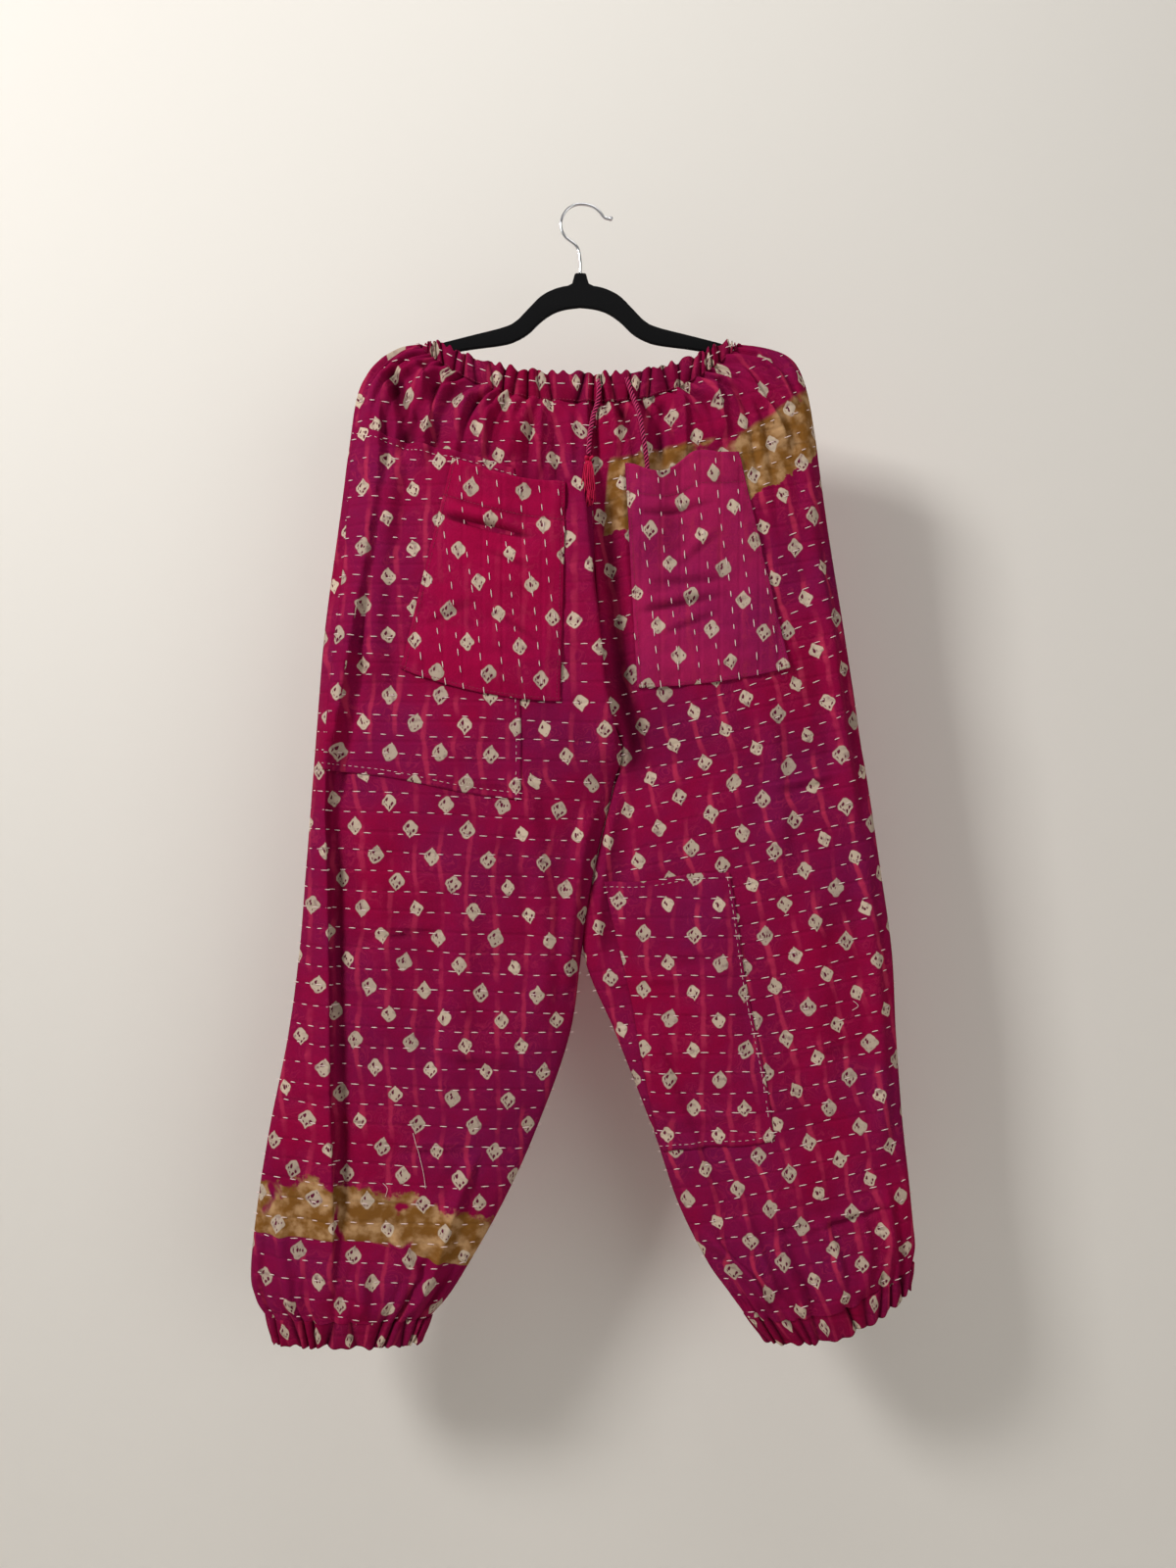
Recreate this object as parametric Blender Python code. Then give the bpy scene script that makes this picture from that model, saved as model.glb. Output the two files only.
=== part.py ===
# Gathered joggers of quilted cotton, hung by the waist on a slim clothes hanger.
# +Z is up, the front faces -Y and +X is the wearer's left. The origin is under the crown of the hook.
# Sizes below are in millimetres, and MM turns them into metres.
import math

import bmesh
import bpy
from mathutils import Vector
from mathutils.bvhtree import BVHTree

MM = 0.001

# Cloth
WALL = 1.7
SEAM_GAP = 0.3
POCKET_WALL = 1.6
PATCH_WALL = 1.0
TUBE_FULLNESS = 0.6  # 1 is an ellipse, less is a flatter tube with rounder sides
PANEL_COLUMNS = {"front": 22, "back": 15}
PANEL_ROWS = {"front": 30, "back": 23}

# Waist casing
CASING_HEIGHT = 25.5
CASING_SQUEEZE = 14.0  # how much lower it is where it lies on the hanger's arms
CASING_SQUEEZE_POWER = 3.2
CASING_WAVES = 15  # on each quarter of the waist
CASING_SAMPLES = 4
CASING_RUFFLE = 1.7

# Ankle casings
CUFF_WAVES = 9  # on each half of an ankle
CUFF_SAMPLES = 4
CUFF_RUFFLE = 1.8

# Hanger and its hook
HANGER_MIDDLE_X = -1.6
HANGER_THICKNESS = 5.6
HANGER_EDGE = 0.9
COLLAR_WIDTH = 13.0
COLLAR_TOP_Z = -65.5
WIRE_DIAMETER = 3.0

# Drawstring
CORD_DIAMETER = 4.2
TASSEL_STRANDS = 12

# Cross-sections from the waist down to the ankle casing. Each joins the leg's outer edge to its
# inner edge: bow is how much its line sags, and crotch_open is 1 where the two legs are one tube.
SECTION_COLUMNS = (
    "outer_x", "outer_z", "inner_x", "inner_z", "bow", "front_depth", "back_depth", "crotch_open",
)
SECTIONS = {
    "right": (
        (-158, -137.5, 6, -198.5, 2.6, 34, 34, 1.0),
        (-172, -139.8, 6.5, -206, 2.5, 36, 36, 1.0),
        (-184, -145.5, 7, -214, 2.3, 37, 38, 1.0),
        (-194, -152.5, 7.5, -223, 2.1, 38, 39, 1.0),
        (-204, -164, 8, -234, 1.9, 38, 40, 1.0),
        (-214.5, -186, 9, -250, 1.7, 38, 42, 1.0),
        (-222, -226, 10, -278, 1.4, 37, 43, 1.0),
        (-234, -312, 12, -346, 1.15, 35, 42, 1.0),
        (-246, -400, 17, -420, 1.0, 33, 39, 1.0),
        (-253, -470, 25, -482, 1.0, 31, 35, 0.9),
        (-257, -520, 38, -526, 1.0, 29, 32, 0.45),
        (-260, -560, 30, -562, 1.0, 27, 29, 0.0),
        (-266, -640, 12, -640, 1.0, 25, 26, 0.0),
        (-272, -718, 0, -718, 1.0, 23, 24, 0.0),
        (-283, -800, -12, -800, 1.0, 22, 23, 0.0),
        (-301, -890, -44, -890, 1.0, 22, 23, 0.0),
        (-312, -960, -76, -960, 1.0, 23, 23, 0.0),
        (-318, -1020, -111, -1022, 1.0, 24, 24, 0.0),
        (-315, -1046, -129, -1050, 1.0, 22, 22, 0.0),
        (-302, -1069, -147, -1070, 1.0, 18, 18, 0.0),
    ),
    "left": (
        (152, -137.5, 6, -198.5, 2.6, 34, 34, 1.0),
        (168, -139.3, 6.5, -206, 2.5, 36, 36, 1.0),
        (182, -142.5, 7, -214, 2.3, 37, 38, 1.0),
        (196, -149.0, 7.5, -223, 2.1, 38, 39, 1.0),
        (206, -160, 8, -234, 1.9, 38, 40, 1.0),
        (214, -180, 9, -250, 1.7, 38, 42, 1.0),
        (223, -221, 10, -278, 1.4, 37, 43, 1.0),
        (236, -312, 12, -346, 1.15, 35, 42, 1.0),
        (250, -400, 17, -420, 1.0, 33, 39, 1.0),
        (261, -470, 25, -482, 1.0, 31, 35, 0.9),
        (268, -520, 38, -526, 1.0, 29, 32, 0.45),
        (275, -560, 32, -562, 1.0, 27, 29, 0.0),
        (287, -640, 17, -640, 1.0, 25, 26, 0.0),
        (298, -718, 7, -718, 1.0, 23, 24, 0.0),
        (302, -798, 33, -800, 1.0, 22, 23, 0.0),
        (308, -880, 68, -890, 1.0, 22, 23, 0.0),
        (314, -936, 92, -960, 1.2, 23, 23, 0.0),
        (318, -978, 120, -1016, 1.6, 24, 24, 0.0),
        (320, -1000, 141, -1045, 2.1, 22, 22, 0.0),
        (317, -1018, 157, -1068, 2.5, 18, 18, 0.0),
    ),
}

# Lower edge of each ankle casing: its outer and inner corners, the bow of its line and its depth.
CUFF_EDGE_COLUMNS = ("outer_x", "outer_z", "inner_x", "inner_z", "bow", "depth")
CUFF_EDGES = {
    "right": (-294, -1094, -158, -1094, 1.0, 15),
    "left": (314, -1041, 177, -1092, 2.8, 15),
}

# The largest folds. Each runs down a line of (x, z) places, rises over its reach to either side
# and has the given height; a negative height is a trough.
FOLD_COLUMNS = ("line", "reach_left", "reach_right", "height")
FRONT_FOLDS = {
    "right": (
        (((-196, -196), (-203, -300), (-222, -420), (-246, -540)), 30, 13, 13),
        (((-246, -560), (-244, -700), (-242, -860), (-238, -1000), (-243, -1066)), 34, 12, 11),
        (((-180, -236), (-194, -330), (-197, -420), (-186, -490)), 15, 15, 6),
        (((-186, -150), (-163, -226), (-170, -262)), 12, 10, -5),
        (((-8, -190), (-4, -300), (2, -430), (8, -520)), 13, 16, 8),
        (((-60, -200), (-62, -245), (-70, -300)), 11, 11, 4),
        (((-98, -185), (-112, -240), (-120, -275)), 12, 12, 5),
        (((-122, -168), (-150, -215), (-168, -255)), 11, 11, 5),
        (((-8, -560), (-26, -660), (-40, -760)), 16, 12, 4),
        (((-182, -980), (-160, -1030), (-172, -1069)), 14, 12, 5),
        (((-100, -930), (-128, -1010), (-150, -1066)), 14, 11, 4),
    ),
    "left": (
        (((28, -292), (30, -400), (40, -500)), 12, 9, -6),
        (((34, -200), (38, -245), (40, -290)), 9, 9, 4),
        (((72, -190), (74, -240), (76, -280)), 11, 11, 5),
        (((98, -182), (104, -235), (112, -285)), 11, 11, 5),
        (((128, -160), (152, -212), (168, -262)), 12, 12, 6),
        (((150, -150), (184, -196), (204, -250)), 12, 11, 5),
        (((236, -330), (252, -480), (264, -620)), 16, 12, 4),
        (((60, -780), (96, -880), (128, -960)), 18, 14, 4),
        (((112, -992), (150, -1018), (178, -1060)), 14, 12, 5),
        (((230, -975), (250, -1020), (256, -1070)), 16, 14, 5),
        (((288, -960), (292, -1000), (290, -1040)), 13, 12, 4),
    ),
}
BACK_FOLDS = {
    "right": (
        (((-30, -195), (-34, -260), (-38, -330)), 14, 14, 5),
        (((-78, -188), (-92, -250), (-100, -330)), 15, 15, 6),
        (((-122, -168), (-150, -230), (-164, -320)), 14, 14, 5),
        (((-196, -300), (-214, -430), (-226, -560)), 18, 22, 6),
        (((-60, -430), (-70, -560), (-86, -700)), 22, 20, 4),
        (((-232, -900), (-236, -1000), (-238, -1068)), 18, 16, 5),
        (((-160, -960), (-172, -1030), (-180, -1068)), 16, 16, 4),
    ),
    "left": (
        (((34, -197), (40, -260), (44, -330)), 14, 14, 5),
        (((84, -186), (96, -250), (106, -320)), 15, 15, 6),
        (((124, -166), (150, -230), (168, -320)), 14, 14, 5),
        (((200, -300), (218, -420), (236, -540)), 22, 18, 6),
        (((80, -440), (96, -570), (112, -700)), 20, 22, 4),
        (((200, -950), (214, -1010), (222, -1080)), 16, 16, 5),
        (((270, -920), (280, -980), (284, -1050)), 16, 14, 4),
    ),
}
FOLD_FADE = 0.28  # share of a fold's length over which it dies away at either end

# Gathers that the elastics draw into the panels
GATHER_COLUMNS = ("waves", "height", "reach")
WAIST_GATHERS = (5, 2.6, 62)
HEM_GATHERS = (6, 2.2, 46)

# Pockets: corners in the front view, and how many cells their sides have
POCKET_COLUMNS = ("top_outer", "top_inner", "foot_inner", "foot_outer", "foot_sag")
POCKETS = {
    "right": ((-121, -252), (-15, -276), (-20, -480), (-171, -449), 14),
    "left": ((147, -246), (40, -259), (52, -467), (196, -448), 9),
}
POCKET_CELLS = 9
POCKET_REACH = (15, 22)  # a pocket clears the highest cloth this far to either side, and up and down
# A pocket's mouth stands off where the drawstring's end lies in it.
MOUTH_LUMP = {"x": 62, "z": -292, "reach_x": 36, "reach_z": 100, "height": 9.5}

# Mending patches, as shares of their leg panel's columns and rows
PATCH_COLUMNS = ("first_column", "last_column", "first_row", "last_row")
PATCHES = {
    "patch_side_right": (1, 15, 11, 16),
    "patch_knee_left": (9, 21, 18, 23),
}

# Hanger: its outline to either side of its middle, from the arch to the arm's tip
HANGER_COLUMNS = ("out", "top", "underside")
HANGER_PROFILE = (
    (0, -76.5, -98.3),
    (15, -78.0, -100.2),
    (27, -81.5, -104.5),
    (38.5, -88.0, -112.5),
    (50, -99.5, -123.5),
    (62, -111.5, -130.5),
    (75, -117.8, -134.5),
    (108, -126.2, -139.0),
    (138, -134.2, -144.5),
    (149, -139.6, -147.5),
    (157, -140.6, -149.5),
    (170, -142.9, -153.5),
    (182, -149.6, -158.5),
    (188, -154.8, -160.0),
)
HOOK_LINE = (
    (-1.6, -65.2), (-1.8, -52), (-5, -39.5), (-16.5, -29.5), (-20.6, -18), (-17, -6.8),
    (-9.5, -0.3), (0, 1.6), (10, -0.8), (17.2, -6.2), (21, -11), (25.5, -12.6), (30, -11.6),
)
BALL_RADII = {10: 1.0, 11: 1.35, 12: 1.1}

# Drawstring: each end's route, as x, y, z
CORD_ROUTES = {
    "drawstring_cord_right": (
        (15, -37.0, -180), (16, -39.0, -190), (14.5, -40.0, -202), (10.5, -40.6, -215),
        (8, -41.0, -228), (6.8, -41.2, -241), (6.2, -41.3, -251),
    ),
    "drawstring_cord_left": (
        (42, -36.6, -178), (45.5, -38.6, -190), (50, -39.8, -203), (53.5, -40.6, -216),
        (56, -41.0, -230), (58.5, -41.2, -244), (60.5, -41.2, -258), (61.5, -41.0, -268),
    ),
}
TASSELS = {
    "tassel_right": {"top": (6, -42.3, -251.1), "length": 50, "width": 9.5, "depth": 7.0},
    "tassel_left": {"top": (61.7, -40.8, -268.2), "length": 42, "width": 9.0, "depth": 4.6},
}

COLOURS = {
    "cloth": ((0.30, 0.012, 0.075, 1), 0.85, 0.0),
    "casing": ((0.27, 0.014, 0.07, 1), 0.85, 0.0),
    "pocket": ((0.36, 0.012, 0.07, 1), 0.85, 0.0),
    "patch": ((0.26, 0.015, 0.09, 1), 0.85, 0.0),
    "cord": ((0.42, 0.015, 0.09, 1), 0.7, 0.0),
    "tassel": ((0.5, 0.012, 0.06, 1), 0.7, 0.0),
    "nap": ((0.008, 0.008, 0.009, 1), 0.95, 0.0),
    "chrome": ((0.7, 0.7, 0.72, 1), 0.2, 1.0),
}


def lerp(a, b, share):
    return a + (b - a) * share


def smooth_bump(distance):
    """1 in the middle and 0 from a distance of 1, with soft edges."""
    return (1 - distance * distance) ** 2 if abs(distance) < 1 else 0.0


def smooth_step(share):
    share = min(1.0, max(0.0, share))
    return share * share * (3 - 2 * share)


def spline_row(table, place):
    """A row between the rows of a table, on smooth curves through its columns."""
    last = len(table) - 1
    i = min(int(place), last - 1)
    f = place - i
    before, a, b, after = (table[min(max(k, 0), last)] for k in (i - 1, i, i + 1, i + 2))
    row = []
    for p0, p1, p2, p3 in zip(before, a, b, after):
        curve = 2 * p1 + (p2 - p0) * f
        curve += (2 * p0 - 5 * p1 + 4 * p2 - p3) * f * f
        curve += (3 * p1 - p0 - 3 * p2 + p3) * f ** 3
        row.append(curve / 2)
    return row


def section_at(leg, place):
    section = dict(zip(SECTION_COLUMNS, spline_row(SECTIONS[leg], place)))
    section["crotch_open"] = min(1.0, max(0.0, section["crotch_open"]))
    section["bow"] = max(1.0, section["bow"])
    return section


def line_z(section, x):
    """The height of a section's line at x."""
    share = (x - section["outer_x"]) / (section["inner_x"] - section["outer_x"])
    share = min(1.0, max(0.0, share))
    return lerp(section["outer_z"], section["inner_z"], 1 - (1 - share) ** section["bow"])


def tube_point(section, side, across):
    """A point on a leg's tube, without folds; across runs from the outer edge to the inner one."""
    turn = math.pi * (1 - section["crotch_open"] / 2)
    angle = turn * across
    share = (1 - math.cos(angle)) / (1 - math.cos(turn))
    x = lerp(section["outer_x"], section["inner_x"], share)
    depth = section[side + "_depth"] * max(0.0, math.sin(angle)) ** TUBE_FULLNESS
    y = -depth if side == "front" else depth
    return Vector((x, y, line_z(section, x)))


def outward(leg, side, place, across):
    """The tube's outward direction, from its neighbours across and along."""
    last = len(SECTIONS[leg]) - 1
    step = 0.02
    left, right = max(0.0, across - step), min(1.0, across + step)
    above, below = max(0.0, place - step), min(last, place + step)
    here = section_at(leg, place)
    over = tube_point(here, side, right) - tube_point(here, side, left)
    down = tube_point(section_at(leg, below), side, across)
    down -= tube_point(section_at(leg, above), side, across)
    normal = over.cross(down)
    if (leg == "right") != (side == "front"):
        normal.negate()
    return -normal.normalized()


def line_x(line, z):
    """Where a fold's line is at height z, and its share of the way down; None past its ends."""
    if z > line[0][1] or z < line[-1][1]:
        return None
    for (x0, z0), (x1, z1) in zip(line, line[1:]):
        if z >= z1:
            along = (line[0][1] - z) / (line[0][1] - line[-1][1])
            return lerp(x0, x1, smooth_half((z0 - z) / (z0 - z1))), along
    return None


def smooth_half(share):
    """Halfway between a straight run and a smooth step."""
    return (share + smooth_step(share)) / 2


def fold_height(folds, x, z):
    total = 0.0
    for row in folds:
        fold = dict(zip(FOLD_COLUMNS, row))
        found = line_x(fold["line"], z)
        if found is None:
            continue
        middle, along = found
        fade = smooth_step(along / FOLD_FADE) * smooth_step((1 - along) / FOLD_FADE)
        reach = fold["reach_left"] if x < middle else fold["reach_right"]
        total += fold["height"] * fade * smooth_bump((x - middle) / reach)
    return total


def gather_height(leg, across, z, top_z, foot_z):
    """The waves that the waist and ankle elastics draw into a panel."""
    total = 0.0
    for values, start in ((WAIST_GATHERS, top_z), (HEM_GATHERS, foot_z)):
        gather = dict(zip(GATHER_COLUMNS, values))
        near = math.exp(-abs(z - start) / gather["reach"])
        warp = across + 0.03 * math.sin(7 * across + (1.3 if leg == "left" else 0.4))
        total += gather["height"] * near * math.sin(2 * math.pi * gather["waves"] * warp)
    return total


def panel_point(leg, side, place, across):
    """A point on a leg panel's outer face, with its folds and gathers, and its outward direction."""
    section = section_at(leg, place)
    point = tube_point(section, side, across)
    normal = outward(leg, side, place, across)
    last = len(SECTIONS[leg]) - 1
    top_z = line_z(section_at(leg, 0), point.x)
    foot_z = line_z(section_at(leg, last), point.x)
    folds = FRONT_FOLDS if side == "front" else BACK_FOLDS
    height = fold_height(folds[leg], point.x, point.z)
    height += gather_height(leg, across, point.z, top_z, foot_z)
    edge = smooth_step(across / 0.16) * smooth_step((1 - across) / 0.12)
    facing = abs(normal.y) ** 2
    point = point + normal * height * edge * facing
    return point, normal


def wall(name, outer, inner, material):
    """A closed wall between two grids of points, in rows of equal length."""
    mesh = bmesh.new()
    faces = []
    sheets = [[[mesh.verts.new(p * MM) for p in row] for row in grid] for grid in (outer, inner)]
    rows, columns = len(outer), len(outer[0])
    for sheet, flip in zip(sheets, (False, True)):
        for r in range(rows - 1):
            for c in range(columns - 1):
                quad = [sheet[r][c], sheet[r + 1][c], sheet[r + 1][c + 1], sheet[r][c + 1]]
                faces.append(quad[::-1] if flip else quad)
    edge = [(0, c) for c in range(columns)]
    edge += [(r, columns - 1) for r in range(1, rows)]
    edge += [(rows - 1, c) for c in range(columns - 2, -1, -1)]
    edge += [(r, 0) for r in range(rows - 2, 0, -1)]
    front, back = sheets
    for k, (r, c) in enumerate(edge):
        s, d = edge[(k + 1) % len(edge)]
        faces.append([front[r][c], front[s][d], back[s][d], back[r][c]])
    for quad in faces:
        mesh.faces.new(quad)
    bmesh.ops.triangulate(mesh, faces=mesh.faces)
    bmesh.ops.recalc_face_normals(mesh, faces=mesh.faces)
    if mesh.calc_volume(signed=True) < 0:
        bmesh.ops.reverse_faces(mesh, faces=mesh.faces)
    return add_part(name, mesh, material)


def add_part(name, mesh, material):
    data = bpy.data.meshes.new(name)
    mesh.to_mesh(data)
    mesh.free()
    part = bpy.data.objects.new(name, data)
    joggers.objects.link(part)
    part.data.materials.append(materials[material])
    part.data.shade_smooth()
    return part


def flat(vector):
    """A direction with its upward share taken out."""
    return Vector((vector.x, vector.y, 0)).normalized()


def panel_grids(leg, side):
    """The outer and inner points of a leg panel, its outer and inner edges half a gap from the seams."""
    last = len(SECTIONS[leg]) - 1
    rows, columns = PANEL_ROWS[side], PANEL_COLUMNS[side]
    toward = -1 if side == "front" else 1
    outer, inner = [], []
    for r in range(rows + 1):
        place = last * r / rows
        section = section_at(leg, place)
        rim = r in (0, rows)
        outer_row, inner_row = [], []
        for c in range(columns + 1):
            across = c / columns
            point, normal = panel_point(leg, side, place, across)
            normal = flat(normal) if rim or c == columns else normal
            under = point - normal * WALL
            if rim:
                under.z = line_z(section, under.x)
                point.z = line_z(section, point.x)
            if c in (0, columns) and abs(point.y) < 2:
                for p in (point, under):
                    p.y = toward * SEAM_GAP / 2
            if c == columns:
                beside = -1 if leg == "right" else 1
                point.x = section["inner_x"] + beside * SEAM_GAP / 2
                under.x = point.x + beside * max(0.0, beside * (under.x - point.x))
            outer_row.append(point)
            inner_row.append(under)
        outer.append(outer_row)
        inner.append(inner_row)
    return outer, inner


def leg_panels():
    grids = {}
    for leg in SECTIONS:
        for side in ("front", "back"):
            grids[leg, side] = panel_grids(leg, side)
            wall(f"leg_{side}_{leg}", *grids[leg, side], "cloth")
    return grids


def ruffle(count, height, turn, seed):
    """One point of an uneven frill: waves of unequal height and pitch."""
    phase = 2 * math.pi * count * turn + 0.5 * math.sin(2 * math.pi * 3 * turn + seed)
    uneven = 0.72 + 0.28 * math.sin(2 * math.pi * 2.6 * turn + 2 * seed)
    return height * uneven * math.sin(phase)


def casing_grids(side):
    """The waist casing over both legs' top sections, gathered on its elastic."""
    columns = CASING_WAVES * CASING_SAMPLES
    toward = -1 if side == "front" else 1
    quarters = [("right", c / columns) for c in range(columns + 1)]
    quarters += [("left", c / columns) for c in range(columns - 1, -1, -1)]
    outer = [[], [], []]
    inner = [[], [], []]
    for k, (leg, across) in enumerate(quarters):
        section = section_at(leg, 0)
        base = tube_point(section, side, across)
        normal = flat(outward(leg, side, 0.0, across))
        share = 1 - abs(base.x - section["inner_x"]) / abs(section["outer_x"] - section["inner_x"])
        full = CASING_HEIGHT - CASING_SQUEEZE * (1 - share) ** CASING_SQUEEZE_POWER
        edge = smooth_step(across / 0.12)
        turn = k / (len(quarters) - 1)
        for level, lift in enumerate((1.0, 0.45, 0.0)):
            strength = (1.15, 0.8, 1.0)[level] * edge
            wave = ruffle(2 * CASING_WAVES, CASING_RUFFLE, turn, 1.1 if side == "front" else 2.3)
            point = base + normal * wave * strength
            under = point - normal * WALL
            for p in (point, under):
                p.z = line_z(section, p.x) + SEAM_GAP + full * lift
                if lift == 1.0:
                    p.z += 0.8 * math.sin(9.0 * turn * math.pi) + 0.7 * math.sin(math.pi * 37 * turn)
            if k in (0, len(quarters) - 1):
                point.y = under.y = toward * SEAM_GAP / 2
            outer[level].append(point)
            inner[level].append(under)
    return outer, inner


def waist_casing():
    for side in ("front", "back"):
        wall(f"waistband_{side}", *casing_grids(side), "casing")


def cuff_grids(leg):
    """An ankle casing all round: smooth at the seam with the panels, frilled at its lower edge."""
    columns = 2 * CUFF_WAVES * CUFF_SAMPLES
    last = len(SECTIONS[leg]) - 1
    top = section_at(leg, last)
    foot = dict(zip(CUFF_EDGE_COLUMNS, CUFF_EDGES[leg]))
    foot.update(front_depth=foot["depth"], back_depth=foot["depth"], crotch_open=0.0)
    outer, inner = [[], [], []], [[], [], []]
    for c in range(columns):
        turn = c / columns
        side = "front" if turn < 0.5 else "back"
        across = 2 * turn if side == "front" else 2 - 2 * turn
        normal = flat(outward(leg, side, last, across))
        for level, lower in enumerate((0.0, 0.55, 1.0)):
            above = tube_point(top, side, across)
            below = tube_point(foot, side, across)
            point = above.lerp(below, lower)
            wave = ruffle(2 * CUFF_WAVES, CUFF_RUFFLE, turn, 0.7 if leg == "right" else 1.9)
            point += normal * wave * lower
            under = point - normal * WALL
            if level == 0:
                for p in (point, under):
                    p.z = line_z(top, p.x) - SEAM_GAP
            if level == 2:
                point.z += 1.2 * math.sin(2 * math.pi * 5 * turn) + 0.8 * math.sin(2 * math.pi * 13 * turn)
                under.z = point.z
            outer[level].append(point)
            inner[level].append(under)
    return outer, inner


def tube_wall(name, outer, inner, material):
    """A closed ring of wall between an outer and an inner tube."""
    mesh = bmesh.new()
    rows, columns = len(outer), len(outer[0])
    sheets = [[[mesh.verts.new(p * MM) for p in row] for row in grid] for grid in (outer, inner)]
    front, back = sheets
    for r in range(rows - 1):
        for c in range(columns):
            d = (c + 1) % columns
            mesh.faces.new((front[r][c], front[r + 1][c], front[r + 1][d], front[r][d]))
            mesh.faces.new((back[r][d], back[r + 1][d], back[r + 1][c], back[r][c]))
    for r in (0, rows - 1):
        for c in range(columns):
            d = (c + 1) % columns
            rim = [front[r][c], front[r][d], back[r][d], back[r][c]]
            mesh.faces.new(rim if r == 0 else rim[::-1])
    bmesh.ops.triangulate(mesh, faces=mesh.faces)
    bmesh.ops.recalc_face_normals(mesh, faces=mesh.faces)
    if mesh.calc_volume(signed=True) < 0:
        bmesh.ops.reverse_faces(mesh, faces=mesh.faces)
    return add_part(name, mesh, material)


def ankle_casings():
    for leg in SECTIONS:
        tube_wall(f"cuff_{leg}", *cuff_grids(leg), "casing")


def patches(grids):
    """Mending patches: their leg panel's own points, moved out past the seam gap."""
    for name, cells in PATCHES.items():
        leg = name.rsplit("_", 1)[1]
        cut = dict(zip(PATCH_COLUMNS, cells))
        outer, inner = grids[leg, "front"]
        near, far = [], []
        for r in range(cut["first_row"], cut["last_row"] + 1):
            columns = range(cut["first_column"], cut["last_column"] + 1)
            out = [(outer[r][c] - inner[r][c]).normalized() for c in columns]
            near.append([outer[r][c] + n * SEAM_GAP for c, n in zip(columns, out)])
            far.append([outer[r][c] + n * (SEAM_GAP + PATCH_WALL) for c, n in zip(columns, out)])
        wall(name, far, near, "patch")


def front_tree():
    """The faces of all pieces that a pocket or a cord may lie on."""
    places, faces = [], []
    for part in joggers.objects:
        if part.name.startswith(("leg_front", "patch", "waistband_front")):
            start = len(places)
            places += [v.co.copy() for v in part.data.vertices]
            faces += [tuple(start + i for i in f.vertices) for f in part.data.polygons]
    return BVHTree.FromPolygons(places, faces)


def front_y(tree, x, z):
    """How far forward the cloth reaches at a place in the front view, in millimetres."""
    hit = tree.ray_cast(Vector((x * MM, -0.4, z * MM)), Vector((0, 1, 0)))[0]
    return hit.y / MM if hit else 0.0


def pocket_place(pocket, across, down):
    """A place on a pocket in the front view; its foot sags a little in the middle."""
    top = [lerp(a, b, across) for a, b in zip(pocket["top_outer"], pocket["top_inner"])]
    foot = [lerp(a, b, across) for a, b in zip(pocket["foot_outer"], pocket["foot_inner"])]
    x, z = (lerp(a, b, down) for a, b in zip(top, foot))
    return x, z - pocket["foot_sag"] * down * 4 * across * (1 - across) * 0.5


def pockets(tree):
    cells = POCKET_CELLS
    for side, values in POCKETS.items():
        pocket = dict(zip(POCKET_COLUMNS, values))
        near, far = [], []
        for r in range(cells + 1):
            near_row, far_row = [], []
            for c in range(cells + 1):
                x, z = pocket_place(pocket, c / cells, r / cells)
                around = [(x + POCKET_REACH[0] * i / 3, z + POCKET_REACH[1] * j / 3)
                          for i in range(-3, 4) for j in range(-3, 4)]
                y = min(front_y(tree, a, b) for a, b in around) - SEAM_GAP
                if side == "left":
                    lump = MOUTH_LUMP
                    y -= (lump["height"] * smooth_bump((x - lump["x"]) / lump["reach_x"])
                          * smooth_bump((z - lump["z"]) / lump["reach_z"]))
                near_row.append(Vector((x, y, z)))
                far_row.append(Vector((x, y - POCKET_WALL, z)))
            near.append(near_row)
            far.append(far_row)
        wall(f"pocket_{side}", far, near, "pocket")


def hanger():
    """The body: a flat outline with rounded edges, the same on both sides of its middle."""
    rows = [dict(zip(HANGER_COLUMNS, row)) for row in HANGER_PROFILE]
    half_collar = COLLAR_WIDTH / 2
    outline = [(half_collar - 2, COLLAR_TOP_Z), (half_collar, rows[1]["top"] + 2)]
    outline += [(row["out"], row["top"]) for row in rows[1:]]
    outline += [(row["out"], row["underside"]) for row in rows[:0:-1]]
    outline.append((0, rows[0]["underside"]))
    outline += [(-x, z) for x, z in outline[-2::-1]]
    curve = bpy.data.curves.new("hanger_body", "CURVE")
    curve.dimensions = "2D"
    curve.fill_mode = "BOTH"
    curve.extrude = (HANGER_THICKNESS / 2 - HANGER_EDGE) * MM
    curve.bevel_depth = HANGER_EDGE * MM
    curve.bevel_resolution = 1
    curve.offset = -HANGER_EDGE * MM
    spline = curve.splines.new("POLY")
    spline.points.add(len(outline) - 1)
    spline.use_cyclic_u = True
    for point, (x, z) in zip(spline.points, outline):
        point.co = ((x + HANGER_MIDDLE_X) * MM, z * MM, 0, 1)
    body = bpy.data.objects.new("hanger_body", curve)
    body.rotation_euler = (math.pi / 2, 0, 0)
    joggers.objects.link(body)
    curve.materials.append(materials["nap"])


def tube(name, route, diameter, material, sides=2, radii=None):
    """A round tube along a route of points, with closed ends."""
    curve = bpy.data.curves.new(name, "CURVE")
    curve.dimensions = "3D"
    curve.bevel_depth = diameter / 2 * MM
    curve.bevel_resolution = sides
    curve.use_fill_caps = True
    spline = curve.splines.new("POLY")
    spline.points.add(len(route) - 1)
    for i, (point, place) in enumerate(zip(spline.points, route)):
        point.co = (*(Vector(place) * MM), 1)
        point.radius = (radii or {}).get(i, 1.0)
    part = bpy.data.objects.new(name, curve)
    joggers.objects.link(part)
    curve.materials.append(materials[material])


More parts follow.
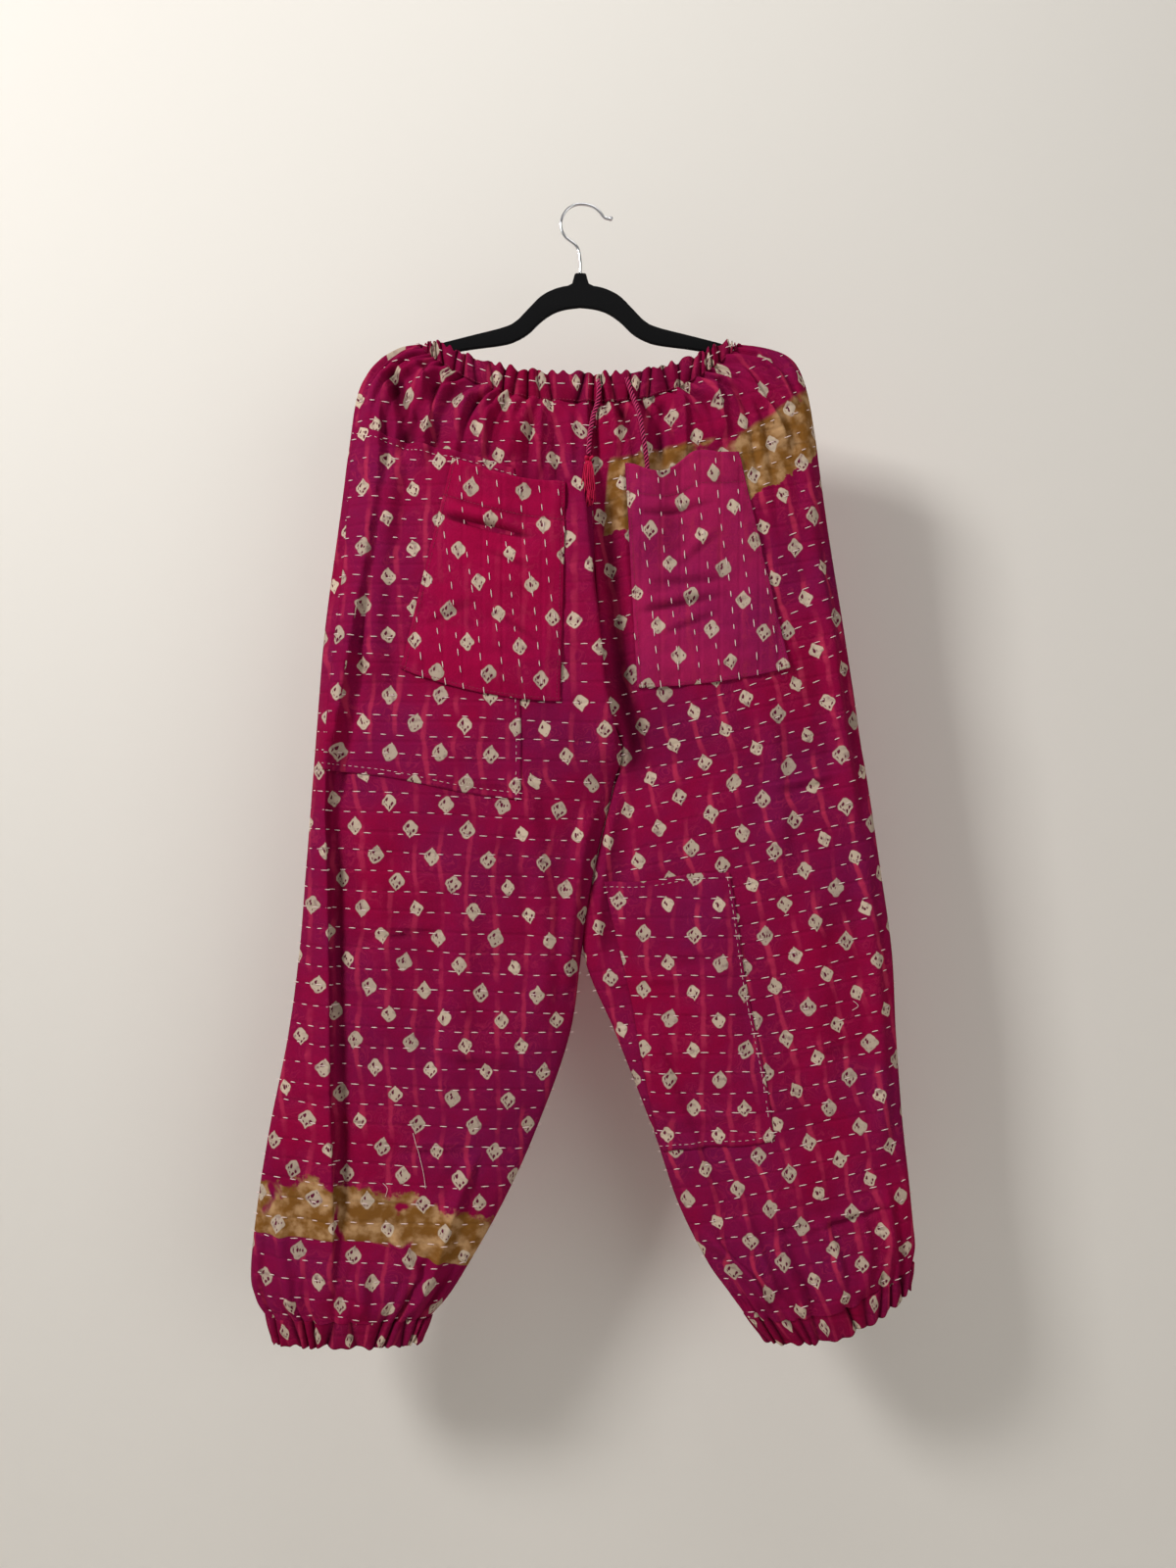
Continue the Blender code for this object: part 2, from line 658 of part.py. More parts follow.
def fine_route(points, step):
    """Points about a step apart on a smooth curve through a route."""
    total = sum((Vector(b) - Vector(a)).length for a, b in zip(points, points[1:]))
    count = max(4, round(total / step))
    return [spline_row(points, (len(points) - 1) * k / count) for k in range(count + 1)]


def hook():
    route = [(x, 0, z) for x, z in HOOK_LINE]
    fine = fine_route(route, 6)
    last = len(fine) - 1
    radii = {last: 0.9, last - 1: 1.75, last - 2: 1.2}
    tube("hanger_hook", fine, WIRE_DIAMETER, "chrome", radii=radii)


def cords():
    for name, route in CORD_ROUTES.items():
        tube(name, fine_route(route, 10), CORD_DIAMETER, "cord")


def tassel(name, size):
    """A knot with strands fused into it; the strands hang apart below."""
    x, y, z = size["top"]
    head = 9.0
    mesh = bmesh.new()
    bmesh.ops.create_uvsphere(mesh, u_segments=10, v_segments=6, radius=1)
    for v in mesh.verts:
        v.co = Vector((v.co.x * size["width"] / 2, v.co.y * size["depth"] / 2, v.co.z * head / 2))
        v.co = (v.co + Vector((x, y, z - head / 2 - SEAM_GAP))) * MM
    knot = add_part(name, mesh, "tassel")
    strands = bmesh.new()
    for k in range(TASSEL_STRANDS):
        turn = 2 * math.pi * k / TASSEL_STRANDS
        ring = 0.72 if k % 2 else 0.34
        spread = 1.0 + 0.15 * math.sin(3.1 * k)
        root = Vector((ring * math.cos(turn) * size["width"] / 2, ring * math.sin(turn) * size["depth"] / 2, 0))
        end = root * spread
        long = size["length"] - head + 3 * math.sin(2.3 * k) - 3
        bottoms = []
        for place, drop in ((root, head * 0.6), (end, long + head)):
            corners = []
            for side in range(3):
                angle = turn + 2 * math.pi * side / 3
                thick = 0.62
                corner = Vector((thick * math.cos(angle), thick * math.sin(angle), 0))
                corners.append(strands.verts.new((place + corner + Vector((x, y, z - drop))) * MM))
            bottoms.append(corners)
        upper, lower = bottoms
        strands.faces.new(upper)
        strands.faces.new(lower[::-1])
        for side in range(3):
            following = (side + 1) % 3
            strands.faces.new((upper[side], lower[side], lower[following], upper[following]))
    bmesh.ops.recalc_face_normals(strands, faces=strands.faces)
    data = bpy.data.meshes.new(name + "_strands")
    strands.to_mesh(data)
    strands.free()
    cutter = bpy.data.objects.new(name + "_strands", data)
    cutter.hide_render = True
    cutter.display_type = "WIRE"
    cutters.objects.link(cutter)
    union = knot.modifiers.new("fused_roots", "BOOLEAN")
    union.operation = "UNION"
    union.object = cutter


def tassels():
    for name, size in TASSELS.items():
        tassel(name, size)


def make_materials():
    made = {}
    for name, (colour, roughness, metallic) in COLOURS.items():
        material = bpy.data.materials.new(name)
        material.use_nodes = True
        shader = material.node_tree.nodes["Principled BSDF"]
        shader.inputs["Base Color"].default_value = colour
        shader.inputs["Roughness"].default_value = roughness
        shader.inputs["Metallic"].default_value = metallic
        made[name] = material
    return made


for old in list(bpy.data.objects):
    bpy.data.objects.remove(old)
joggers = bpy.data.collections.new("joggers_on_hanger")
cutters = bpy.data.collections.new("cutters")
bpy.context.scene.collection.children.link(joggers)
bpy.context.scene.collection.children.link(cutters)
materials = make_materials()

panel_points = leg_panels()
waist_casing()
ankle_casings()
patches(panel_points)
pockets(front_tree())
hanger()
hook()
cords()
tassels()
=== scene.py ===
import math

import bmesh
import bpy
import numpy as np
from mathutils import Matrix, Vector
from mathutils.bvhtree import BVHTree


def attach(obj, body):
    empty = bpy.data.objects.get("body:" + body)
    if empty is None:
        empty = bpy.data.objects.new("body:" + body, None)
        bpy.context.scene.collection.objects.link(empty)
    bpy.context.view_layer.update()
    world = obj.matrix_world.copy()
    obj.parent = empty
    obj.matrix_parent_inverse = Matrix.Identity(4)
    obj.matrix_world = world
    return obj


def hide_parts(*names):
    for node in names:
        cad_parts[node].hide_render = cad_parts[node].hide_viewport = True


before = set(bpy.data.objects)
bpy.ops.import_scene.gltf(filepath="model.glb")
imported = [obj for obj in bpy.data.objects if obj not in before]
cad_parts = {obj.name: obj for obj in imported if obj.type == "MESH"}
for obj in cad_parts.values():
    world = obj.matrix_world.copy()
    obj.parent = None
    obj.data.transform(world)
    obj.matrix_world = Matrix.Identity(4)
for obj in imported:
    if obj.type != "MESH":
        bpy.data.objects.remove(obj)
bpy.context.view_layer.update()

# Quilted joggers on a slim hanger. Tables are in millimetres, in the frame's directions:
# x to the wearer's left, y to the back, z up from the crown of the hook. Camera, stage, lights
# and shaders are in metres.
mm = 0.001
rng = np.random.default_rng(7)

camera = {"distance": 1.2, "across": 0.0057, "height": -0.5575, "frameHeight": 1.512, "sensor": 36.0}
stage = {
    "wallY": 0.16, "floorZ": -1.5, "wide": 3.2, "tall": 3.0, "floorReach": 3, "paint": (0.72, 0.685, 0.63),
    "floorPaint": (0.52, 0.50, 0.47), "lightsAt": (0, 0, -0.55), "sky": (0.80, 0.79, 0.77, 1),
    "skyFill": 0.24, "skySeen": 0.55,
}

cloth = {
    "thickness": 1.2, "grid": {"front": (330, 128), "back": (190, 84)}, "crowd": 0.04, "cutRows": (6, 17),
    "fullness": 0.6, "seamGap": 0.3, "seamDip": 0.9, "seamDipReach": 3.0, "foldStrength": 1.35,
    "paintedShadeDepth": 9, "swells": ((2.0, 58), (1.0, 26), (0.45, 9)),
    "pleats": 18, "pleatHeight": 4.6, "pleatReach": 34, "gathers": 8, "gatherHeight": 6.4, "gatherReach": 88,
    "hemPleats": 13, "hemPleatHeight": 3.8, "hemPleatReach": 30,
    "hemGathers": 6, "hemGatherHeight": 5.0, "hemGatherReach": 62,
}
sideSeeds = {"front": 1.1, "back": 2.3}
hemSeeds = {"right": (0.7, 0.4), "left": (1.9, 2.6)}
legs, sides = ("right", "left"), ("front", "back")

# Cross-sections of each leg, from the waist casing down to the ankle casing: where its outer and
# inner edges are and how the line between them bows, then its depth to the front and to the back,
# and how far it is open to the other leg
sectionColumns = ("outerX", "outerZ", "innerX", "innerZ", "bow", "front", "back", "open")
legEdges = {
    "right": (
        (-158, -137.5, 6, -198.5, 2.6), (-172, -139.8, 6.5, -206, 2.5), (-184, -145.5, 7, -214, 2.3),
        (-194, -152.5, 7.5, -223, 2.1), (-204, -164, 8, -234, 1.9), (-214.5, -186, 9, -250, 1.7),
        (-222, -226, 10, -278, 1.4), (-234, -312, 12, -346, 1.15), (-246, -400, 17, -420, 1.0),
        (-253, -470, 25, -482, 1.0), (-257, -520, 38, -526, 1.0), (-260, -560, 30, -562, 1.0),
        (-266, -640, 12, -640, 1.0), (-272, -718, 0, -718, 1.0), (-283, -800, -12, -800, 1.0),
        (-301, -890, -44, -890, 1.0), (-312, -960, -76, -960, 1.0), (-318, -1020, -111, -1022, 1.0),
        (-315, -1046, -129, -1050, 1.0), (-302, -1069, -147, -1070, 1.0)),
    "left": (
        (152, -137.5, 6, -198.5, 2.6), (168, -139.3, 6.5, -206, 2.5), (182, -142.5, 7, -214, 2.3),
        (196, -149.0, 7.5, -223, 2.1), (206, -160, 8, -234, 1.9), (214, -180, 9, -250, 1.7),
        (223, -221, 10, -278, 1.4), (236, -312, 12, -346, 1.15), (250, -400, 17, -420, 1.0),
        (261, -470, 25, -482, 1.0), (268, -520, 38, -526, 1.0), (275, -560, 30, -562, 1.0),
        (287, -640, 12, -640, 1.0), (298, -718, 1, -718, 1.0), (302, -798, 33, -800, 1.0),
        (308, -880, 68, -890, 1.0), (314, -936, 92, -960, 1.2), (318, -978, 120, -1016, 1.6),
        (320, -1000, 141, -1045, 2.1), (317, -1018, 157, -1068, 2.5)),
}
legDepths = (
    (34, 34, 1.0), (36, 36, 1.0), (37, 38, 1.0), (38, 39, 1.0), (38, 40, 1.0), (38, 42, 1.0), (37, 43, 1.0),
    (35, 42, 1.0), (33, 39, 1.0), (31, 35, 0.9), (29, 32, 0.45), (27, 29, 0.0), (25, 26, 0.0), (23, 24, 0.0),
    (22, 23, 0.0), (22, 23, 0.0), (23, 23, 0.0), (24, 24, 0.0), (22, 22, 0.0), (18, 18, 0.0),
)
legSections = {leg: np.hstack([edges, legDepths]) for leg, edges in legEdges.items()}
lastSection = len(legDepths) - 1
cuffEdges = {"right": (-294, -1094, -158, -1094, 1.0, 15, 15, 0.0),
             "left": (314, -1041, 177, -1092, 2.8, 15, 15, 0.0)}

# Folds: the line of each through (x, z), its reach to the left and right, its height,
# and how far its crest leans to the right. A negative height is a trough.
foldColumns = ("line", "left", "right", "height", "lean")
frontFolds = (
    (((-192, -176), (-197, -262), (-211, -352), (-223, -420), (-237, -500), (-247, -600)), 26, 5, 11, 7),
    (((-245, -440), (-249, -560), (-247, -640), (-245, -760), (-242, -900), (-238, -1020), (-242, -1069)),
     28, 5, 10, 7),
    (((-176, -236), (-186, -300), (-197, -370), (-196, -430), (-186, -486)), 13, 16, 7, -3),
    (((-186, -236), (-194, -330), (-205, -420), (-219, -500), (-234, -600)), 5, 11, -5, 0),
    (((-233, -560), (-233, -700), (-229, -860), (-226, -1000)), 5, 14, -4, 0),
    (((-186, -150), (-172, -190), (-165, -222), (-172, -262)), 12, 9, -9, 0),
    (((-166, -148), (-150, -176), (-146, -215), (-152, -260)), 10, 8, 6, 2),
    (((-136, -150), (-150, -190), (-168, -232)), 8, 9, 5, -2),
    (((-120, -160), (-137, -205), (-154, -246)), 8, 9, 5, -2),
    (((-104, -178), (-112, -212), (-121, -258)), 8, 8, 4, 0),
    (((-88, -182), (-92, -214), (-96, -256)), 7, 8, 4, 1),
    (((-66, -188), (-66, -220), (-72, -262)), 8, 8, 4.5, 0),
    (((-44, -194), (-40, -230), (-44, -276)), 8, 7, 4, 1),
    (((-26, -198), (-26, -238), (-22, -286)), 6, 6, -4, 0),
    (((-14, -200), (-12, -240), (-14, -290)), 8, 8, 5, 0),
    (((-4, -250), (2, -330), (10, -400), (18, -460), (28, -505), (34, -556)), 25, 6, 8, 5),
    (((25, -236), (26, -320), (33, -400), (41, -470), (53, -520), (52, -575)), 13, 13, -9, 0),
    (((34, -196), (38, -232), (36, -268)), 6, 6, -4, 0),
    (((48, -194), (52, -226), (54, -262)), 7, 7, 4, 0),
    (((76, -196), (74, -232), (73, -262)), 6, 5, -4, 0),
    (((92, -186), (94, -216), (95, -256)), 8, 6, 5, 2),
    (((120, -172), (127, -204), (134, -236)), 9, 6, 6, 3),
    (((146, -160), (164, -190), (182, -216), (196, -248)), 10, 7, 6, 3),
    (((158, -148), (182, -172), (204, -206)), 8, 8, 4, 0),
    (((190, -150), (204, -190), (214, -250), (222, -330)), 14, 12, 4, 0),
    (((214, -300), (232, -400), (246, -500), (262, -620)), 18, 10, 5, 2),
    (((166, -460), (182, -540), (190, -640)), 20, 14, 3, 0),
    (((262, -600), (276, -700), (284, -820), (286, -940)), 16, 12, 4, 1),
    (((-60, -520), (-44, -620), (-34, -720), (-44, -800)), 20, 16, 4, 0),
    (((14, -566), (2, -620), (-8, -690), (-14, -760)), 16, 10, 6, 0),
    (((44, -560), (34, -620), (26, -690), (30, -740)), 12, 14, -5, 0),
    (((-210, -560), (-190, -700), (-188, -820)), 22, 20, 3, 0),
    (((-110, -640), (-118, -760), (-132, -880)), 26, 22, 3, 0),
    (((-98, -900), (-122, -960), (-138, -1010), (-152, -1060)), 12, 9, 6, 2),
    (((-186, -976), (-166, -1004), (-152, -1036), (-164, -1068)), 11, 8, 6, 2),
    (((-290, -960), (-284, -1010), (-276, -1066)), 10, 10, 4, 0),
    (((-210, -1000), (-206, -1036), (-210, -1068)), 9, 9, 4, 0),
    (((60, -780), (84, -850), (112, -920), (132, -980)), 15, 11, 4, 0),
    (((112, -980), (136, -1004), (158, -1024), (176, -1062)), 13, 9, 6, 3),
    (((150, -960), (168, -1000), (186, -1050)), 9, 9, 4, 0),
    (((222, -962), (240, -1006), (248, -1060)), 12, 9, 5, 1),
    (((286, -930), (292, -980), (286, -1036)), 10, 9, 5, 0),
    (((262, -960), (270, -1000), (268, -1050)), 8, 8, 4, 0),
    (((120, -600), (130, -700), (136, -800)), 26, 24, 2.5, 0),
    (((216, -640), (222, -760), (236, -880)), 24, 22, 3, 0),
)
backFolds = (
    (((-20, -200), (-22, -250), (-30, -330)), 10, 10, 5, 0),
    (((-48, -194), (-54, -250), (-58, -320)), 9, 10, 5, 1),
    (((-80, -186), (-92, -250), (-100, -340)), 12, 11, 6, 0),
    (((-106, -176), (-122, -230), (-134, -300)), 9, 10, 5, 0),
    (((-128, -160), (-152, -222), (-170, -320)), 11, 11, 6, 0),
    (((-156, -146), (-184, -196), (-198, -270)), 10, 10, 5, 0),
    (((-200, -260), (-214, -380), (-226, -500), (-232, -600)), 16, 22, 7, 0),
    (((-60, -400), (-72, -520), (-88, -680)), 20, 16, 5, 0),
    (((-140, -480), (-160, -640), (-170, -800)), 24, 20, 4, 0),
    (((-238, -640), (-244, -820), (-246, -1000), (-244, -1066)), 18, 20, 7, 0),
    (((-150, -940), (-166, -1010), (-178, -1066)), 12, 12, 5, 0),
    (((-210, -960), (-212, -1020), (-214, -1066)), 10, 10, 4, 0),
    (((20, -200), (22, -250), (26, -330)), 10, 10, 4, 0),
    (((50, -194), (56, -250), (64, -330)), 10, 9, 5, 0),
    (((84, -186), (98, -250), (108, -330)), 12, 12, 6, 0),
    (((120, -166), (148, -226), (168, -310)), 11, 11, 6, 0),
    (((148, -150), (180, -200), (200, -280)), 10, 10, 5, 0),
    (((204, -300), (222, -430), (240, -560)), 22, 16, 7, 0),
    (((70, -420), (90, -560), (104, -700)), 18, 22, 5, 0),
    (((168, -500), (186, -660), (196, -820)), 22, 24, 4, 0),
    (((250, -620), (264, -800), (272, -960)), 20, 16, 6, 0),
    (((190, -940), (206, -1000), (216, -1070)), 12, 12, 5, 0),
    (((262, -930), (276, -980), (280, -1050)), 11, 11, 4, 0),
)
foldFade = 0.22

# Short soft creases across the cloth: middle x and z, half-length, slope, half-width and depth
creases = (
    (245, -972, 74, 0.30, 5, 1.6), (204, -984, 34, 0.35, 5, -1.4), (105, -722, 34, 0.06, 4, 1.3),
    (82, -747, 70, 0.10, 5, 1.3), (112, -778, 38, 0.12, 4, 1.0), (-100, -822, 60, -0.12, 6, 1.2),
    (-170, -700, 50, 0.10, 6, 1.2), (-150, -905, 56, -0.06, 5, 1.2), (120, -880, 60, 0.10, 6, 1.2),
    (210, -560, 40, 0.20, 6, 1.2), (-90, -560, 60, -0.05, 6, 1.1), (230, -812, 44, 0.16, 6, 1.1),
    (-250, -852, 36, 0.25, 5, 1.2), (150, -860, 40, -0.1, 4, 1.0),
)


def lerp(a, b, share):
    return a + (b - a) * share


def smoothStep(share):
    share = np.clip(share, 0.0, 1.0)
    return share * share * (3 - 2 * share)


def softBump(distance):
    inside = np.clip(1 - distance * distance, 0, None)
    return inside * inside


def splineRows(table, places):
    # rows between a table's rows, on smooth curves through its columns
    table = np.asarray(table, float)
    places = np.atleast_1d(places)
    last = len(table) - 1
    i = np.minimum(places.astype(int), last - 1)
    f = (places - i)[:, None]
    p0, p1, p2, p3 = (table[np.clip(i + k, 0, last)] for k in (-1, 0, 1, 2))
    return ((2 * p1) + (p2 - p0) * f + (2 * p0 - 5 * p1 + 4 * p2 - p3) * f ** 2
            + (3 * p1 - p0 - 3 * p2 + p3) * f ** 3) / 2


def sectionsAt(leg, places):
    rows = splineRows(legSections[leg], places)
    s = {name: rows[:, k:k + 1] for k, name in enumerate(sectionColumns)}
    s["open"] = np.clip(s["open"], 0, 1)
    s["bow"] = np.maximum(s["bow"], 1)
    return s


def lineZ(s, x):
    share = np.clip((x - s["outerX"]) / (s["innerX"] - s["outerX"]), 0, 1)
    return lerp(s["outerZ"], s["innerZ"], 1 - (1 - share) ** s["bow"])


def tubeGrid(s, side, across):
    turn = math.pi * (1 - s["open"] / 2)
    angle = turn * across[None, :]
    share = (1 - np.cos(angle)) / (1 - np.cos(turn))
    x = lerp(s["outerX"], s["innerX"], share)
    y = s[side] * np.clip(np.sin(angle), 0, 1) ** cloth["fullness"]
    y = -y if side == "front" else y
    return np.stack([x, y, lineZ(s, x)], axis=-1)


def gridNormals(points, flip):
    down = np.gradient(points, axis=0)
    over = np.gradient(points, axis=1)
    normal = np.cross(down, over)
    normal /= np.maximum(np.linalg.norm(normal, axis=-1, keepdims=True), 1e-9)
    return -normal if flip else normal


def smoothNoise(x, z, size, seed):
    # soft random swells of a given size, between -1 and 1
    lattice = np.random.default_rng(seed).uniform(-1, 1, (128, 128))
    u, v = x / size + 50, z / size + 90
    i, j = np.floor(u).astype(int), np.floor(v).astype(int)
    f, g = smoothStep(u - i), smoothStep(v - j)
    a, b = lattice[i % 128, j % 128], lattice[(i + 1) % 128, j % 128]
    c, d = lattice[i % 128, (j + 1) % 128], lattice[(i + 1) % 128, (j + 1) % 128]
    return lerp(lerp(a, b, f), lerp(c, d, f), g)


def foldField(folds, x, z):
    height, lean = np.zeros_like(x), np.zeros_like(x)
    for row in folds:
        fold = dict(zip(foldColumns, row))
        line = splineRows(fold["line"], np.linspace(0, len(fold["line"]) - 1, 24))
        top, foot = line[0, 1], line[-1, 1]
        middle = np.interp(-z, -line[:, 1], line[:, 0])
        along = (top - z) / (top - foot)
        fade = smoothStep(along / foldFade) * smoothStep((1 - along) / foldFade)
        reach = np.where(x < middle, fold["left"], fold["right"])
        ridge = fade * softBump((x - middle) / reach)
        height += fold["height"] * ridge
        lean += fold["lean"] * ridge
    return height, lean


def creaseField(x, z):
    total = np.zeros_like(x)
    for middleX, middleZ, half, slope, width, depth in creases:
        along = (x - middleX) / half
        off = z - middleZ - slope * (x - middleX)
        total += 2.2 * depth * softBump(along) * (softBump((off - width) / width) - softBump(off / width))
    return total


def pleatWave(turn, count, seed, wander=0.0):
    # uneven pinched gathers: round crests and narrow valleys, 1 at a crest and about -1 in a valley
    drift = 0.9 * np.sin(2 * math.pi * 5 * turn + seed) + 0.55 * np.sin(2 * math.pi * 11 * turn + 2 * seed)
    phase = math.pi * count * turn + drift + wander * np.sin(2 * math.pi * 8 * turn + 5 * seed)
    uneven = np.sin(2 * math.pi * 6.7 * turn + 3 * seed) * np.sin(2 * math.pi * 13.3 * turn + seed)
    size = 0.78 + 0.28 * uneven
    return size * (2 * np.abs(np.sin(phase)) ** 0.7 - 1.15)


def waistTurn(leg, across):
    return across / 2 if leg == "right" else 1 - across / 2


def gridOf(points, uv, flip, paintedShade=None):
    # a piece's outer face: its points, normals, cloth coordinates and how much painted shade each place gets
    # for lying deep in a fold
    paintedShade = np.zeros(points.shape[:2]) if paintedShade is None else paintedShade
    return {"points": points, "uv": uv, "flip": flip, "normals": gridNormals(points, flip), "paintedShade": paintedShade}


def legGrid(leg, side):
    front, sign = side == "front", 1 if leg == "right" else -1
    rows, columns = cloth["grid"][side]
    across = np.linspace(0, 1, columns + 1)
    across = across + cloth["crowd"] * np.sin(2 * math.pi * across)
    s = sectionsAt(leg, np.linspace(0, lastSection, rows + 1))
    base = tubeGrid(s, side, across)
    flip = (leg == "right") != front
    normals = gridNormals(base, flip)
    x, z = base[..., 0], base[..., 2]
    step = np.linalg.norm(np.diff(base, axis=1), axis=-1)
    run = np.concatenate([np.zeros((rows + 1, 1)), np.cumsum(step, axis=1)], axis=1)
    width = run[:, -1:]
    # the gathered ends are cut as wide as the hip and the ankle
    hip, ankle = (int(round(row / lastSection * rows)) for row in cloth["cutRows"])
    cut = width.copy()
    cut[:hip] = width[hip]
    cut[ankle:] = np.maximum(width[ankle:], width[ankle])
    u = (s["outerX"] + s["innerX"]) / 2 + sign * (run / width - 0.5) * cut
    folds, lean = foldField(frontFolds if front else backFolds, x, z)

    def reach(kind, uneven, waves, phase):
        return cloth[kind] * (1 + uneven * np.sin(waves * across + phase))[None, :]

    def gathered(kind, turn, phase, near):
        return cloth[kind + "Height"] * near * pleatWave(turn, 2 * cloth[kind + "s"], phase)[None, :]
    seed, (hemSeed, gatherSeed) = sideSeeds[side], hemSeeds[leg]
    turn, hemTurn = waistTurn(leg, across), across / 2 if front else 1 - across / 2
    drop = lineZ(sectionsAt(leg, np.zeros(1)), x) - z
    rise = z - lineZ(sectionsAt(leg, np.full(1, float(lastSection))), x)
    height = gathered("pleat", turn, seed, np.exp(-np.abs(drop) / reach("pleatReach", 0.5, 9, seed)))
    height += gathered("hemPleat", hemTurn, hemSeed, np.exp(-np.abs(rise) / cloth["hemPleatReach"]))
    drop, rise = np.maximum(drop, 0), np.maximum(rise, 0)
    near = smoothStep((drop + 4) / 22) * np.exp(-(drop / reach("gatherReach", 0.4, 13, 2 * seed)) ** 2)
    height += gathered("gather", turn, 1.7 * seed, near)
    near = smoothStep((rise + 3) / 20) * np.exp(-(rise / reach("hemGatherReach", 0.45, 11, seed)) ** 2)
    height += gathered("hemGather", hemTurn, gatherSeed, near)
    noiseSeed = 11 + 3 * (leg == "left") + 5 * (side == "back")
    for k, (swell, size) in enumerate(cloth["swells"]):
        height += swell * smoothNoise(u, z, size, noiseSeed + k)
    if front:
        height += creaseField(x, z)
    # painted shade in the troughs of folds and gathers, darker the deeper they go
    paintedShade = np.clip(-(height + folds) / cloth["paintedShadeDepth"], 0, 1)

    def fadeOut(outer, inner):
        # 0 at the panel's seams, but not where the two legs are one
        atInner = lerp(smoothStep((1 - across) / inner)[None, :], 1.0, s["open"])
        return smoothStep(across / outer)[None, :] * atInner
    edgeRun = np.minimum(run, width - run + 1000 * (s["open"] > 0.99))
    dip = cloth["seamDip"] * np.exp(-(edgeRun / cloth["seamDipReach"]) ** 2)
    points = base + normals * (height * fadeOut(0.12, 0.10) * np.abs(normals[..., 1]) - dip)[..., None]
    toward = -1 if front else 1
    points[..., 0] += lean * fadeOut(0.05, 0.05)
    points[..., 1] += toward * cloth["foldStrength"] * folds * fadeOut(0.05, 0.05)
    for c in (0, columns):
        flat = np.abs(points[:, c, 1]) < 2
        points[flat, c, 1] = toward * cloth["seamGap"] / 2
    points[:, columns, 0] = s["innerX"][:, 0] - sign * cloth["seamGap"] / 2
    return gridOf(points, np.stack([u, z], axis=-1), flip, paintedShade)


def newObject(name, data):
    made = bpy.data.objects.new(name, data)
    bpy.context.scene.collection.objects.link(made)
    return made


def plainMesh(guide):
    # what a curve or a modifier makes, as a plain mesh; its guide is removed
    mesh = bpy.data.meshes.new_from_object(guide.evaluated_get(bpy.context.evaluated_depsgraph_get()))
    bpy.data.objects.remove(guide)
    return mesh


def dress(made, material, slot, *nodes):
    made.data.materials.clear()
    made.data.materials.append(materials[material])
    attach(made, "root")
    if nodes:
        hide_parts(*nodes)
    return made


def clothPiece(name, grid, thickness, material, slot, node, wrap=False):
    # a grid as a mesh with its cloth coordinates, and a thin wall behind it
    points, uv = grid["points"], grid["uv"]
    rows, columns = points.shape[:2]
    index = np.arange(rows * columns).reshape(rows, columns)
    following = np.roll(index, -1, axis=1) if wrap else index[:, 1:]
    here = index if wrap else index[:, :-1]
    quads = np.stack([here[:-1], here[1:], following[1:], following[:-1]], axis=-1).reshape(-1, 4)
    if grid["flip"]:
        quads = quads[:, ::-1]
    mesh = bpy.data.meshes.new(name)
    mesh.from_pydata((points.reshape(-1, 3) * mm).tolist(), [], quads.tolist())
    layer = mesh.uv_layers.new(name="cloth")
    corner = np.zeros(len(mesh.loops), np.int32)
    mesh.loops.foreach_get("vertex_index", corner)
    layer.data.foreach_set("uv", (uv.reshape(-1, 2)[corner] * mm).ravel())
    # the painted fold shade, kept as an attribute for the material to darken its colour by
    depth = mesh.attributes.new("paintedShade", "FLOAT", "POINT")
    depth.data.foreach_set("value", grid["paintedShade"].ravel())
    mesh.shade_smooth()
    made = newObject(name, mesh)
    shell = made.modifiers.new("wall", "SOLIDIFY")
    shell.thickness = thickness * mm
    shell.offset = -1
    return dress(made, material, slot, node)


def newGroup(name, inputs, outputs):
    # a shader group; the kind of each input follows from its first value
    kinds = {3: "NodeSocketVector", 4: "NodeSocketColor"}
    tree = bpy.data.node_groups.new(name, "ShaderNodeTree")
    for label, value in inputs.items():
        kind = kinds[len(value)] if hasattr(value, "__len__") else "NodeSocketFloat"
        tree.interface.new_socket(label, in_out="INPUT", socket_type=kind).default_value = value
    for label in outputs:
        kind = "NodeSocketColor" if label == "Color" else "NodeSocketFloat"
        tree.interface.new_socket(label, in_out="OUTPUT", socket_type=kind)
    return tree, tree.nodes.new("NodeGroupInput").outputs, tree.nodes.new("NodeGroupOutput").inputs


def put(tree, kind, values=(), **settings):
    # a node with its settings and its inputs: a socket is linked and anything else is set
    node = tree.nodes.new(kind)
    for name, value in settings.items():
        setattr(node, name, value)
    for key, value in (values.items() if isinstance(values, dict) else enumerate(values)):
        if isinstance(value, bpy.types.NodeSocket):
            tree.links.new(value, node.inputs[key])
        elif value is not None:
            node.inputs[key].default_value = value
    return node


def maths(tree, operation, *values):
    return put(tree, "ShaderNodeMath", values, operation=operation).outputs[0]


def sumsOf(tree):
    # the three sums that every tree uses, in short forms
    kinds = ("ADD", "SUBTRACT", "MULTIPLY")
    return [lambda a, b, kind=kind: maths(tree, kind, a, b) for kind in kinds]


def vectors(tree, operation, *values):
    node = put(tree, "ShaderNodeVectorMath", values, operation=operation)
    return node.outputs["Value" if operation in ("DOT_PRODUCT", "LENGTH") else "Vector"]


def scaled(tree, vector, amount):
    return put(tree, "ShaderNodeVectorMath", {0: vector, "Scale": amount}, operation="SCALE").outputs[0]


def noise(tree, where, scale, detail, roughness=0.5, distortion=0.0, output=0):
    labels = ("Vector", "Scale", "Detail", "Roughness", "Distortion")
    values = dict(zip(labels, (where, scale, detail, roughness, distortion)))
    return put(tree, "ShaderNodeTexNoise", values).outputs[output]


def blendColour(tree, share, a, b, mode="MIX"):
    return put(tree, "ShaderNodeMix", {0: share, 6: a, 7: b}, data_type="RGBA", blend_type=mode).outputs[2]


